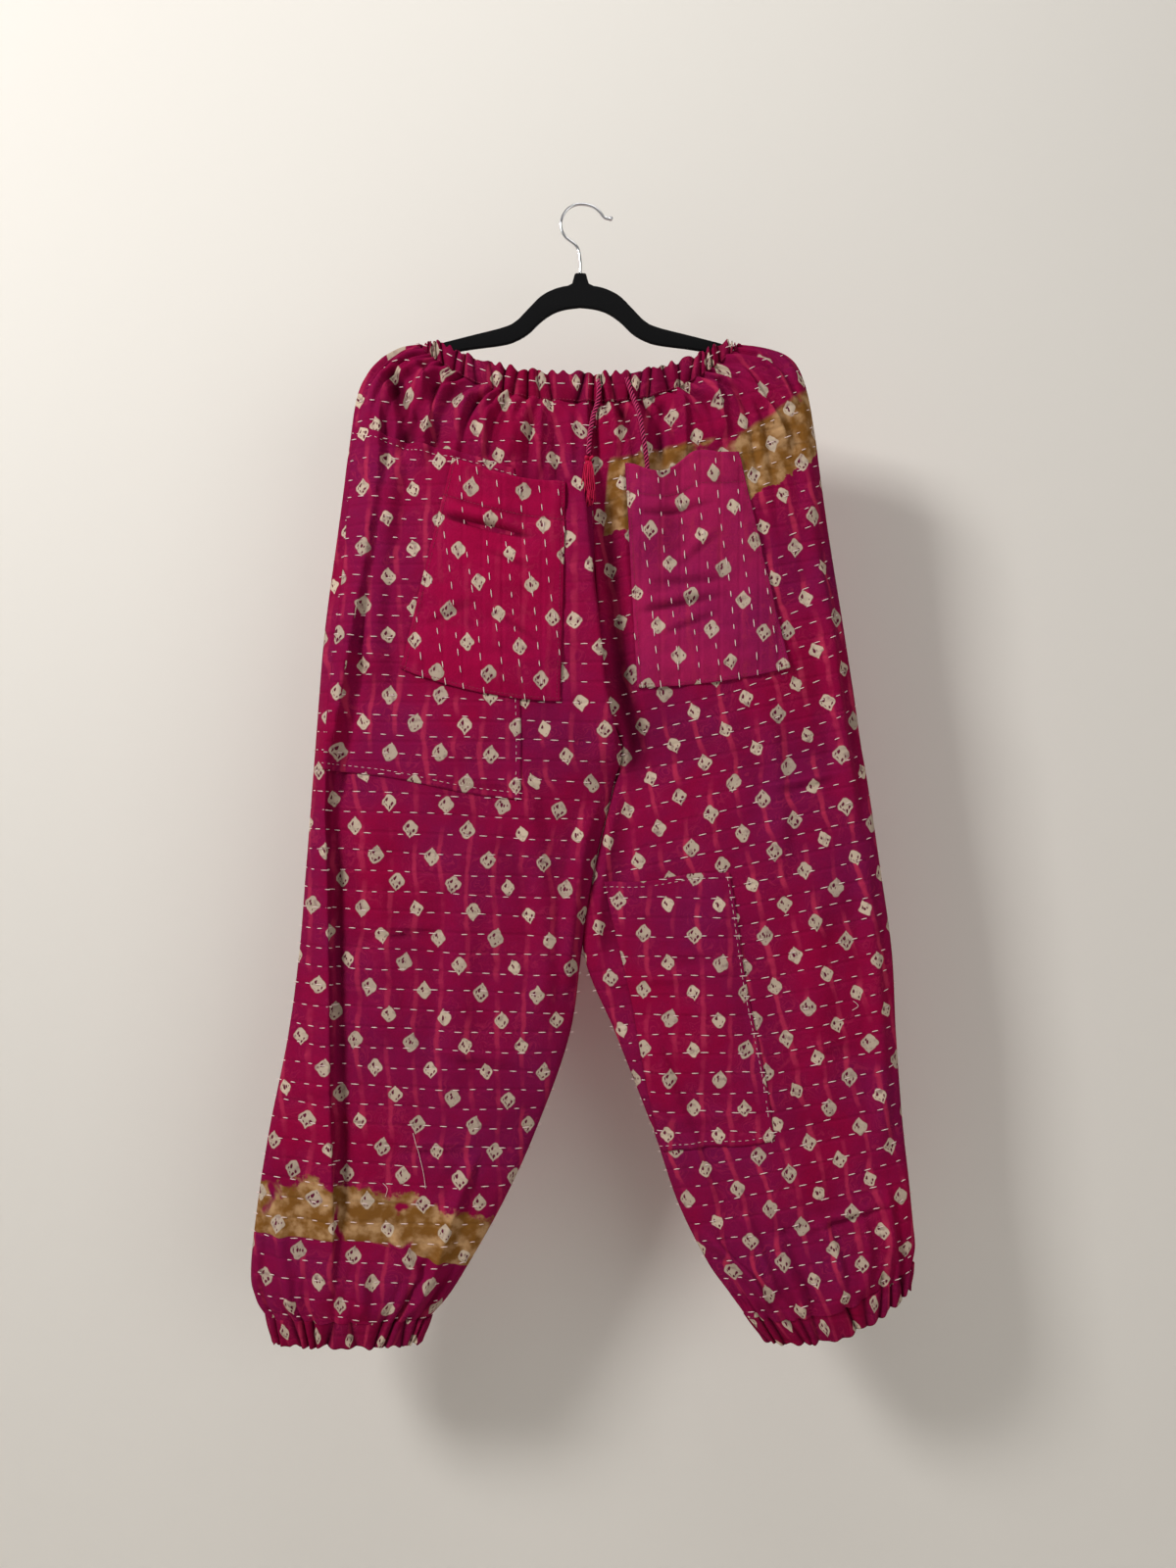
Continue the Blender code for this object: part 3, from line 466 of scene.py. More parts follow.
def soften(tree, value, low, high):
    # 0 below low and 1 above high, with a soft run between
    values = {"Value": value, "From Min": low, "From Max": high}
    return put(tree, "ShaderNodeMapRange", values, interpolation_type="SMOOTHSTEP").outputs[0]


lozengeForm = {
    "jitter": 0.0022, "ragScale": 150, "rag": 0.0028, "turn": 0.5, "wide": 1.1, "tall": 0.97, "round": 1.2,
    "blend": 0.0012, "tail": 0.0014, "least": 0.86, "spread": 0.24, "soft": (-0.0004, 0.0007),
    "speckScale": 215, "speck": (0.40, 0.50), "speckReach": 0.70, "speckSoft": 0.0006,
}


def lozengeGroup():
    # resist-dyed lozenges on a slanted lattice: the mask, the small dark marks inside, and a shade
    form = lozengeForm
    tree, given, made = newGroup("dyedLozenges", {
        "Cloth": (0, 0, 0), "Across X": (1, 0, 0), "Across Y": (0, 1, 0), "Step A": (1, 0, 0),
        "Step B": (0, 1, 0), "Half Size": 0.0095}, ("Mask", "Marks", "Shade"))
    add, take, times = sumsOf(tree)
    where = given["Cloth"]
    cellA, cellB = (maths(tree, "ROUND", vectors(tree, "DOT_PRODUCT", where, given["Across " + axis]))
                    for axis in "XY")
    cell = put(tree, "ShaderNodeCombineXYZ", (cellA, cellB, 0.5)).outputs[0]
    chance = put(tree, "ShaderNodeTexWhiteNoise", {"Vector": cell}, noise_dimensions="3D").outputs
    middle = vectors(tree, "ADD", scaled(tree, given["Step A"], cellA), scaled(tree, given["Step B"], cellB))
    half = (0.5, 0.5, 0.5)
    jitter = scaled(tree, vectors(tree, "SUBTRACT", chance["Color"], half), form["jitter"])
    local = vectors(tree, "SUBTRACT", vectors(tree, "SUBTRACT", where, middle), jitter)
    rag = noise(tree, where, form["ragScale"], 1, output="Color")
    local = vectors(tree, "ADD", local, scaled(tree, vectors(tree, "SUBTRACT", rag, half), form["rag"]))
    turn = times(take(chance["Value"], 0.5), form["turn"])
    local = put(tree, "ShaderNodeVectorRotate", {"Vector": local, "Angle": turn},
                rotation_type="Z_AXIS").outputs[0]
    x, y = put(tree, "ShaderNodeSeparateXYZ", (local,)).outputs[:2]
    sideX = times(maths(tree, "ABSOLUTE", x), form["wide"])
    sideY = times(maths(tree, "ABSOLUTE", y), form["tall"])
    spread = put(tree, "ShaderNodeCombineXYZ", (sideX, sideY, 0)).outputs[0]
    rounded = times(vectors(tree, "LENGTH", spread), form["round"])
    reach = maths(tree, "SMOOTH_MAX", add(sideX, sideY), rounded, form["blend"])
    # a drawn-out tip, upwards on some and downwards on others
    tail = times(soften(tree, sideX, form["tail"], 0.0003), form["tail"])
    upward = times(take(maths(tree, "FRACT", times(chance["Value"], 7)), 0.5), y)
    reach = take(reach, times(tail, maths(tree, "GREATER_THAN", upward, 0)))
    size = times(given["Half Size"], add(form["least"], times(chance["Value"], form["spread"])))
    drips = put(tree, "ShaderNodeMapping", {"Vector": local, "Scale": (1.5, 0.8, 1)}).outputs[0]
    values = {"Vector": drips, "Scale": form["speckScale"], "Randomness": 0.8}
    specks = put(tree, "ShaderNodeTexVoronoi", values).outputs["Distance"]
    specks = take(1, soften(tree, specks, *form["speck"]))
    inner = soften(tree, take(times(size, form["speckReach"]), reach), -form["speckSoft"], form["speckSoft"])
    tree.links.new(soften(tree, take(size, reach), *form["soft"]), made["Mask"])
    tree.links.new(times(specks, inner), made["Marks"])
    tree.links.new(chance["Value"], made["Shade"])
    return tree


streakForm = {
    "patchScale": 6.5, "patchSoft": 0.22, "pitch": 0.026, "bendScale": 13, "bend": 0.030,
    "edge": (0.04, 0.13), "wornScale": 26, "worn": (0.38, 0.62), "curlScale": 34, "curlEdge": (0.02, 0.08),
    "curl": 0.30, "curlWorn": (0.45, 0.6), "grainScale": 620, "darkest": 0.86, "grain": 0.28,
}


def groundGroup():
    # uneven magenta dye with soft upright streaks and faint curls
    form = streakForm
    tree, given, made = newGroup("streakedDye", {
        "Cloth": (0, 0, 0), "Crimson": (0.3, 0.01, 0.06, 1), "Purple": (0.2, 0.01, 0.09, 1),
        "Streak": (0.4, 0.02, 0.06, 1), "Streak Strength": 0.5, "Purple Share": 0.5}, ("Color", "Grain"))
    add, take, times = sumsOf(tree)
    where = given["Cloth"]
    edge = take(1, given["Purple Share"])
    patchy = soften(tree, noise(tree, where, form["patchScale"], 5, 0.66), take(edge, form["patchSoft"]),
                    add(edge, form["patchSoft"]))
    colour = blendColour(tree, patchy, given["Crimson"], given["Purple"])
    bend = noise(tree, where, form["bendScale"], 4)
    across = add(put(tree, "ShaderNodeSeparateXYZ", (where,)).outputs[0], times(bend, form["bend"]))
    cycle = maths(tree, "FRACT", maths(tree, "DIVIDE", across, form["pitch"]))
    streak = take(1, soften(tree, maths(tree, "ABSOLUTE", take(cycle, 0.5)), *form["edge"]))
    worn = noise(tree, where, form["wornScale"], 3)
    streak = times(times(streak, soften(tree, worn, *form["worn"])), given["Streak Strength"])
    colour = blendColour(tree, streak, colour, given["Streak"])
    swirl = vectors(tree, "ADD", where, bend)
    curls = put(tree, "ShaderNodeTexVoronoi", {"Vector": swirl, "Scale": form["curlScale"]},
                feature="DISTANCE_TO_EDGE").outputs["Distance"]
    curls = times(take(1, soften(tree, curls, *form["curlEdge"])), form["curl"])
    curls = times(curls, soften(tree, worn, *form["curlWorn"]))
    colour = blendColour(tree, curls, colour, given["Streak"])
    fine = noise(tree, where, form["grainScale"], 2)
    grain = add(form["darkest"], times(fine, form["grain"]))
    shade = put(tree, "ShaderNodeCombineXYZ", (grain, grain, grain)).outputs[0]
    tree.links.new(blendColour(tree, 1, colour, shade, "MULTIPLY"), made["Color"])
    tree.links.new(fine, made["Grain"])
    return tree


bandForm = {"ragScale": 34, "above": (-0.002, 0.004), "below": (0, 0.0012), "beside": (0, 0.003),
            "clearScale": 27, "clear": (0.60, 0.67), "paleScale": 70, "pale": (0.4, 0.7)}


def bandGroup():
    # an ochre band across the cloth, ragged where its dye bled
    form = bandForm
    tree, given, made = newGroup("bledBand", {
        "Cloth": (0, 0, 0), "Upper": 0, "Lower": -1, "Slope": 0, "Bend From": 0, "Bend": 0, "Upper Rag": 0.01,
        "Lower Rag": 0.002, "From X": -9}, ("Mask", "Pale"))
    add, take, times = sumsOf(tree)
    where = given["Cloth"]
    x, z = put(tree, "ShaderNodeSeparateXYZ", (where,)).outputs[:2]
    past = maths(tree, "MAXIMUM", take(x, given["Bend From"]), 0)
    level = take(take(z, times(x, given["Slope"])), times(past, given["Bend"]))
    rag = take(noise(tree, where, form["ragScale"], 4, 0.65), 0.5)
    upper, lower = (add(given[edge], times(rag, given[edge + " Rag"])) for edge in ("Upper", "Lower"))
    under = soften(tree, take(upper, level), *form["above"])
    over = soften(tree, take(level, lower), *form["below"])
    beside = soften(tree, take(x, given["From X"]), *form["beside"])
    clear = noise(tree, where, form["clearScale"], 3, distortion=0.5)
    clear = take(1, soften(tree, clear, *form["clear"]))
    tree.links.new(times(times(times(under, over), beside), clear), made["Mask"])
    tree.links.new(soften(tree, noise(tree, where, form["paleScale"], 3), *form["pale"]), made["Pale"])
    return tree


weaveForm = {"thread": 0.0009, "threadHeight": 0.05, "rowPitch": 0.0185, "quilt": 0.55,
             "quiltEdge": (0.34, 0.5), "puckerScale": 120, "pucker": 0.7, "slubScale": 420, "slub": 0.25}


def weaveGroup():
    # the height of a plain weave under quilting puckers between the stitched rows
    form = weaveForm
    tree, given, made = newGroup("quiltedWeave", {"Cloth": (0, 0, 0), "Row Slope": 0, "Upright": 0},
                                 ("Height",))
    add, take, times = sumsOf(tree)
    where = given["Cloth"]
    x, z = put(tree, "ShaderNodeSeparateXYZ", (where,)).outputs[:2]
    weave = times(add(*(maths(tree, "SINE", times(side, 2 * math.pi / form["thread"])) for side in (x, z))),
                  form["threadHeight"])
    level = times(take(z, times(x, given["Row Slope"])), take(1, given["Upright"]))
    level = add(level, times(x, given["Upright"]))
    cycle = maths(tree, "FRACT", maths(tree, "DIVIDE", level, form["rowPitch"]))
    row = soften(tree, maths(tree, "ABSOLUTE", take(cycle, 0.5)), *form["quiltEdge"])
    quilt = times(take(1, row), form["quilt"])
    pucker = times(noise(tree, where, form["puckerScale"], 3), form["pucker"])
    slub = times(noise(tree, where, form["slubScale"], 2), form["slub"])
    tree.links.new(add(add(weave, quilt), add(pucker, slub)), made["Height"])
    return tree


groups = {"lozenge": lozengeGroup(), "ground": groundGroup(), "band": bandGroup(), "weave": weaveGroup()}


def newMaterial(name):
    material = bpy.data.materials.new(name)
    material.use_nodes = True
    return material, material.node_tree, material.node_tree.nodes["Principled BSDF"]


def finishMaterial(tree, shader, colour, height, depth, strength, rough):
    # the last steps of every material: paint, relief and roughness
    bump = put(tree, "ShaderNodeBump", {"Height": height, "Strength": strength, "Distance": depth})
    for label, value in (("Base Color", colour), ("Normal", bump.outputs[0]), ("Roughness", rough)):
        tree.links.new(value, shader.inputs[label])


dyesAndPaintedShade = {
    "ochre": (0.205, 0.085, 0.017, 1), "ochrePale": (0.47, 0.275, 0.13, 1), "resist": (0.59, 0.465, 0.345, 1),
    "resistDim": (0.42, 0.33, 0.255, 1), "stain": (0.29, 0.19, 0.165, 1), "marks": (0.11, 0.008, 0.032, 1),
    # not a dye: the near-black colour of the painted shade in folds
    "paintedShade": (0.02, 0.001, 0.006, 1),
}
clothFinish = {"stainScale": 150, "stain": (0.5, 0.75), "rough": (0.14, 0.78), "relief": 0.0014,
               "strength": 0.7, "specular": 0.03}


def clothMaterial(name, looks):
    # dyed cloth: lozenges, streaked ground and bands over a quilted weave, darkened by painted shade in its
    # folds
    material, tree, shader = newMaterial(name)
    cut = put(tree, "ShaderNodeUVMap", uv_map="cloth").outputs[0]
    shifted = put(tree, "ShaderNodeMapping", {
        "Vector": cut, "Rotation": (0, 0, -math.radians(looks["turn"])),
        "Location": (looks["shiftX"] * mm, looks["shiftZ"] * mm, 0)}).outputs[0]

    def place(kind, values, where=shifted):
        return put(tree, "ShaderNodeGroup", {"Cloth": where, **values}, node_tree=groups[kind]).outputs
    (ax, az), (bx, bz) = looks["stepA"], looks["stepB"]
    area = (ax * bz - az * bx) * mm
    ground = place("ground", {
        "Crimson": looks["crimson"], "Purple": looks["purple"], "Streak": looks["streak"],
        "Purple Share": looks["purpleShare"], "Streak Strength": looks["streaks"]})
    lozenge = place("lozenge", {
        "Across X": (bz / area, -bx / area, 0), "Across Y": (-az / area, ax / area, 0),
        "Step A": (ax * mm, az * mm, 0), "Step B": (bx * mm, bz * mm, 0),
        "Half Size": looks["halfSize"] * mm})
    colour = ground["Color"]
    for band in looks.get("bands", ()):
        values = {label: value if label in ("Slope", "Bend") else value * mm for label, value in band.items()}
        made = place("band", values, cut)
        ochre = blendColour(tree, made["Pale"], dyesAndPaintedShade["ochre"], dyesAndPaintedShade["ochrePale"])
        colour = blendColour(tree, made["Mask"], colour, ochre)
    resist = blendColour(tree, lozenge["Shade"], dyesAndPaintedShade["resist"], dyesAndPaintedShade["resistDim"])
    stained = soften(tree, noise(tree, cut, clothFinish["stainScale"], 2), *clothFinish["stain"])
    resist = blendColour(tree, stained, resist, dyesAndPaintedShade["stain"])
    colour = blendColour(tree, lozenge["Mask"], colour, resist)
    colour = blendColour(tree, lozenge["Marks"], colour, dyesAndPaintedShade["marks"])
    # painted shade: the colour runs towards near black where the piece lies deep in a fold
    paintedShade = put(tree, "ShaderNodeAttribute", attribute_name="paintedShade").outputs["Fac"]
    colour = blendColour(tree, maths(tree, "MULTIPLY", paintedShade, looks["valleyShade"]), colour, dyesAndPaintedShade["paintedShade"])
    weave = place("weave", {"Row Slope": looks["rowSlope"], "Upright": looks["upright"]}, cut)
    rough = maths(tree, "MULTIPLY_ADD", ground["Grain"], *clothFinish["rough"])
    finishMaterial(tree, shader, colour, weave["Height"], clothFinish["relief"], clothFinish["strength"],
                   rough)
    shader.inputs["Specular IOR Level"].default_value = clothFinish["specular"]
    return material


# The bands' levels are in millimetres; their slope, and their bend past a place, are rises per run
crimson, purple, streak = (0.265, 0.0022, 0.036, 1), (0.170, 0.0055, 0.055, 1), (0.42, 0.024, 0.074, 1)
hemBand = {"Upper": -949, "Lower": -1001, "Slope": -0.05, "Bend From": -200, "Bend": -0.25,
           "Upper Rag": 58, "Lower Rag": 5, "From X": -400}
waistBand = {"Upper": -256, "Lower": -324, "Slope": 0.195, "Bend From": 140, "Bend": 0.42,
             "Upper Rag": 5, "Lower Rag": 40, "From X": 11}
rightLattice = {"stepA": (19.8, -26.2), "stepB": (33.3, 23.8)}
pocketLattice = {"stepA": (19.2, -30.2), "stepB": (-30.2, -26.7), "upright": 1}
plainLooks = {
    "shiftX": 0, "shiftZ": 0, "turn": 0, "stepA": (22.5, -26), "stepB": (22.5, 24.5), "halfSize": 9.2,
    "crimson": crimson, "purple": purple, "streak": streak, "purpleShare": 0.5, "streaks": 0.7,
    "rowSlope": 0.05, "upright": 0, "valleyShade": 0.62,
}
looksOf = {
    "clothRight": {**rightLattice, "bands": (hemBand,), "rowSlope": -0.04},
    "clothLeft": {"bands": (waistBand,), "rowSlope": 0.20, "shiftX": 6, "turn": 12.5, "streaks": 0.95,
                  "stepA": (25.1, -23.7), "stepB": (25.3, 26.2)},
    "clothBack": {"shiftX": 11, "shiftZ": 7},
    # the casings' crimson and purple are the cloth's darkened as painted shade, and their pleats get stronger
    # painted shade
    "clothCasingShaded": {**rightLattice, "shiftZ": 4, "valleyShade": 0.95,
                    "crimson": (0.235, 0.002, 0.029, 1), "purple": (0.15, 0.005, 0.045, 1)},
    "clothPocketRight": {**pocketLattice, "purpleShare": 0.45, "streaks": 0.35,
                         "crimson": (0.315, 0.0025, 0.043, 1), "purple": (0.22, 0.004, 0.052, 1)},
    "clothPocketLeft": {**pocketLattice, "streaks": 0.3,
                        "crimson": (0.37, 0.012, 0.078, 1), "purple": (0.22, 0.008, 0.066, 1)},
    "clothPatch": {"shiftX": 14, "shiftZ": 9, "streaks": 0.75, "stepA": (24, -28), "stepB": (24, 27),
                   "rowSlope": 0},
}
materials = {name: clothMaterial(name, {**plainLooks, **looks}) for name, looks in looksOf.items()}


def simpleMaterial(name, looks):
    # one colour with a fine grain of its own, with painted shade in its grooves where it has them
    material, tree, shader = newMaterial(name)
    metallic = looks.get("metallic", 0.0)
    shader.inputs["Metallic"].default_value = metallic
    shader.inputs["Sheen Weight"].default_value = looks.get("sheen", 0.0)
    shader.inputs["Specular IOR Level"].default_value = 0.5 if metallic else 0.15
    grain = noise(tree, put(tree, "ShaderNodeTexCoord").outputs["Object"], looks["scale"], 3)
    dark = tuple(c * (1 - looks["share"]) for c in looks["colour"])
    paint = blendColour(tree, grain, (*dark, 1), (*looks["colour"], 1))
    # painted shade in the grooves, where a look gives its colour
    if "paintedGrooveShade" in looks:
        paintedShade = put(tree, "ShaderNodeAttribute", attribute_name="paintedShade").outputs["Fac"]
        paint = blendColour(tree, paintedShade, paint, (*looks["paintedGrooveShade"], 1))
    rough = maths(tree, "MULTIPLY_ADD", grain, 0.08, looks["roughness"] - 0.04)
    finishMaterial(tree, shader, paint, grain, looks["depth"], 0.5, rough)
    return material


simpleColumns = ("colour", "roughness", "scale", "depth", "share")
simpleLooks = {
    "threadPale": ((0.88, 0.68, 0.64), 0.8, 900, 0.0001, 0.3, {"sheen": 0.1}),
    "threadDark": ((0.33, 0.02, 0.07), 0.8, 900, 0.0001, 0.4, {"sheen": 0.1}),
    # the cord's last colour is painted shade for the grooves between its plies
    "cordCotton": ((0.80, 0.065, 0.22), 0.9, 1500, 0.0002, 0.5, {"paintedGrooveShade": (0.10, 0.003, 0.02)}),
    "tasselCotton": ((0.64, 0.012, 0.075), 0.9, 1500, 0.0001, 0.5, {}),
    "blackNap": ((0.0045, 0.0045, 0.005), 0.95, 1100, 0.0006, 0.6, {"sheen": 0.03}),
    "chromeWire": ((0.78, 0.78, 0.80), 0.17, 60, 0.00002, 0.06, {"metallic": 1.0}),
}
for name, looks in simpleLooks.items():
    materials[name] = simpleMaterial(name, {**dict(zip(simpleColumns, looks)), **looks[-1]})


def stitchTree():
    # running stitches: along each line, one short raised stitch every pitch
    tree = bpy.data.node_groups.new("runningStitch", "GeometryNodeTree")
    tree.is_modifier = True
    sockets = (("Geometry", "NodeSocketGeometry", None), ("Pitch", "NodeSocketFloat", 0.0155),
               ("Length", "NodeSocketFloat", 0.0066), ("Thickness", "NodeSocketFloat", 0.0009),
               ("Skipped", "NodeSocketFloat", 0.05), ("Unevenness", "NodeSocketFloat", 0.2),
               ("Seed", "NodeSocketInt", 1), ("Thread", "NodeSocketMaterial", None))
    for label, kind, value in sockets:
        socket = tree.interface.new_socket(label, in_out="INPUT", socket_type=kind)
        if value is not None:
            socket.default_value = value
    tree.interface.new_socket("Geometry", in_out="OUTPUT", socket_type="NodeSocketGeometry")
    start, end = tree.nodes.new("NodeGroupInput"), tree.nodes.new("NodeGroupOutput")
    given = start.outputs
    lines = put(tree, "GeometryNodeMeshToCurve", {"Mesh": given["Geometry"]})
    spaced = put(tree, "GeometryNodeResampleCurve", {"Curve": lines.outputs[0], "Length": given["Pitch"]},
                 mode="LENGTH")
    points = put(tree, "GeometryNodeCurveToPoints", {"Curve": spaced.outputs[0]}, mode="EVALUATED")
    chance = put(tree, "FunctionNodeRandomValue", {"Probability": given["Skipped"], "Seed": given["Seed"]},
                 data_type="BOOLEAN")
    kept = put(tree, "GeometryNodeDeleteGeometry", {"Geometry": points.outputs["Points"],
                                                    "Selection": chance.outputs[3]}, domain="POINT")
    stitch = put(tree, "GeometryNodeMeshUVSphere", {"Segments": 5, "Rings": 4, "Radius": 0.5})
    turned = put(tree, "FunctionNodeAlignRotationToVector", {"Vector": points.outputs["Tangent"]}, axis="Z")
    add, take, times = sumsOf(tree)
    shortest, longest = take(1, given["Unevenness"]), add(1, given["Unevenness"])
    vary = put(tree, "FunctionNodeRandomValue", {"Seed": given["Seed"], 2: shortest, 3: longest},
               data_type="FLOAT")
    length = times(given["Length"], vary.outputs[1])
    size = put(tree, "ShaderNodeCombineXYZ", (given["Thickness"], given["Thickness"], length))
    sewn = put(tree, "GeometryNodeInstanceOnPoints", {
        "Points": kept.outputs[0], "Instance": stitch.outputs[0], "Rotation": turned.outputs[0],
        "Scale": size.outputs[0]})
    real = put(tree, "GeometryNodeRealizeInstances", {"Geometry": sewn.outputs[0]})
    smooth = put(tree, "GeometryNodeSetShadeSmooth", {"Geometry": real.outputs[0]})
    done = put(tree, "GeometryNodeSetMaterial", {"Geometry": smooth.outputs[0], "Material": given["Thread"]})
    tree.links.new(done.outputs[0], end.inputs[0])
    return tree


stitchNodes = stitchTree()


def sewStitches(name, lines, thread, values, seed):
    # lines are lists of points in millimetres; the result is one plain mesh
    places, edges = [], []
    for line in lines:
        start = len(places)
        places += [tuple(p * mm) for p in line]
        edges += [(start + k, start + k + 1) for k in range(len(line) - 1)]
    mesh = bpy.data.meshes.new(name + "Lines")
    mesh.from_pydata(places, edges, [])
    guide = newObject(name + "Lines", mesh)
    sewing = guide.modifiers.new("sewing", "NODES")
    sewing.node_group = stitchNodes
    inputs = [item for item in stitchNodes.interface.items_tree if item.in_out == "INPUT"]
    identifiers = {item.name: item.identifier for item in inputs}
    for label, value in {**values, "Seed": seed, "Thread": materials[thread]}.items():
        sewing[identifiers[label]] = value
    plain = plainMesh(guide)
    plain.name = name
    made = newObject(name, plain)
    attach(made, "root")
    return made


def levelLines(grid, slope, upright=False, covered=None, tilt=None):
    # stitch lines on a piece's folded surface at even steps of height, or of x where upright
    points = grid["points"] + grid["normals"] * kantha["proud"]
    x, z = grid["uv"][..., 0], grid["uv"][..., 1]
    field = z - slope * x
    if tilt:
        past = np.maximum(x - tilt["fromX"], 0)
        field -= tilt["slope"] * past * smoothStep((z - tilt["fromZ"]) / tilt["reach"])
    if upright:
        field = np.swapaxes(x - slope * z, 0, 1) * -1
        points = np.swapaxes(points, 0, 1)
    if field[0].mean() < field[-1].mean():
        field, points = field[::-1], points[::-1]
    lines, spacing, shortest = [], kantha["spacing"], kantha["shortest"]
    for k, level in enumerate(np.arange(math.floor(field.min() / spacing) * spacing, field.max(), spacing)):
        level += rng.uniform(-kantha["jitter"], kantha["jitter"])
        skip = rng.integers(0, 6)
        line = []
        for c in range(1, field.shape[1] - 1):
            column = field[:, c]
            wander = level + kantha["wander"] * math.sin(c * 0.11 + k * 1.7)
            if column.min() < wander < column.max():
                at = np.interp(-wander, -np.minimum.accumulate(column), np.arange(len(column)))
                i = min(int(at), len(column) - 2)
                place = lerp(points[i, c], points[i + 1, c], at - i)
                if covered and covered(place):
                    if len(line) > shortest:
                        lines.append(line)
                    line = []
                    continue
                line.append(place)
            elif len(line) > shortest:
                lines.append(line[skip:])
                line = []
        if len(line) > shortest:
            lines.append(line[skip:])
    return lines


print("cutting the leg panels")
grids = {(leg, side): legGrid(leg, side) for leg in legs for side in sides}
panels = {}
for (leg, side), grid in grids.items():
    name, material = side + "Panel" + leg.capitalize(), "cloth" + leg.capitalize()
    material = material if side == "front" else "clothBack"
    panels[leg, side] = clothPiece(name, grid, cloth["thickness"], material, "cloth", f"leg_{side}_{leg}")
frontPanels = [panels[leg, "front"] for leg in legs]


print("gathering the waist casing")
casing = {"height": 25.5, "squeeze": 14.0, "squeezePower": 3.2, "corner": 3, "proud": 1.1, "bulge": 2.4,
          "rows": 14, "columns": 340, "thickness": 0.9, "tuck": 1.5, "pleatHeight": 3.6, "frill": 1.9,
          "edgeReach": 0.16, "endReach": 0.13, "endHeight": 0.1, "frillWaves": (31, 2, 9)}


def unevenWave(turn, count, lilt, drift):
    return np.sin(2 * math.pi * count * turn + lilt * np.sin(2 * math.pi * drift * turn))


def casingGrid(side):
    parts, along = [], []
    for leg in legs:
        across = np.linspace(0, 1, casing["columns"] + 1)
        if leg == "left":
            across = across[::-1][1:]
        s = sectionsAt(leg, np.zeros(1))
        base = tubeGrid(s, side, across)[0]
        deeper = tubeGrid(sectionsAt(leg, np.full(1, 0.05)), side, across)[0]
        normal = np.cross(deeper - base, np.gradient(base, axis=0))
        normal[:, 2] = 0
        normal /= np.maximum(np.linalg.norm(normal, axis=1, keepdims=True), 1e-9)
        outward = normal if (normal * base)[:, 1].sum() >= 0 else -normal
        share = 1 - np.abs(base[:, 0] - s["innerX"][0, 0]) / abs(s["outerX"][0, 0] - s["innerX"][0, 0])
        edge = smoothStep(across / casing["edgeReach"])
        full = casing["height"] - casing["squeeze"] * (1 - share) ** casing["squeezePower"]
        full -= casing["corner"] * (1 - edge)
        full *= lerp(casing["endHeight"], 1.0, smoothStep(share / casing["endReach"]))
        turn = waistTurn(leg, across)
        ruffle = casing["frill"] * smoothStep(across / 0.2) * smoothStep(share / 0.1) * edge
        ruffle = ruffle * unevenWave(turn, *casing["frillWaves"])
        rows, paintedShades = [], []
        for level in np.linspace(1, 0, casing["rows"] + 1):
            wave = pleatWave(turn, 2 * cloth["pleats"], sideSeeds[side], 1.3 * level) * edge
            pinch = lerp(1.0, 0.72, math.sin(math.pi * level)) * (1 + 0.25 * level)
            bulge = casing["bulge"] * math.sin(math.pi * min(1.0, level * 1.04)) * edge
            point = base + outward * (casing["proud"] + bulge + casing["pleatHeight"] * wave * pinch)[:, None]
            rise = (full + casing["tuck"]) * level - casing["tuck"] + ruffle * level ** 4
            point[:, 2] = lineZ(s, point[:, 0][None, :])[0] + rise
            rows.append(point)
            # painted shade in the pleats' valleys
            paintedShades.append(np.clip(0.1 - wave, 0, 1))
        parts.append((np.stack(rows), np.stack(paintedShades)))
        top = grids[leg, side]["uv"][0, :, 0]
        even = np.linspace(0, 1, casing["columns"] + 1)
        along.append(np.interp(even if leg == "right" else even[::-1][1:], np.linspace(0, 1, len(top)), top))
    points, paintedShade = (np.concatenate([part[k] for part in parts], axis=1) for k in (0, 1))
    points[:, (0, -1), 1] = (-1 if side == "front" else 1) * cloth["seamGap"] / 2
    uv = np.stack([np.broadcast_to(np.concatenate(along), points.shape[:2]), points[..., 2]], axis=-1)
    return gridOf(points, uv, side == "back", paintedShade)


casingGrids = {side: casingGrid(side) for side in sides}
casings = {side: clothPiece("waistCasing" + side.capitalize(), grid, casing["thickness"], "clothCasingShaded",
                            "casing", f"waistband_{side}") for side, grid in casingGrids.items()}


print("gathering the ankle casings")
cuff = {"rows": 14, "columns": 420, "proud": 0.2, "bulge": 0.9, "thickness": 0.9, "tuck": 1.5,
        "pleatHeight": 3.9, "frill": 3.4, "frillWaves": (29, 1.5, 7), "frillFrom": 0.75, "fullness": 1.6}


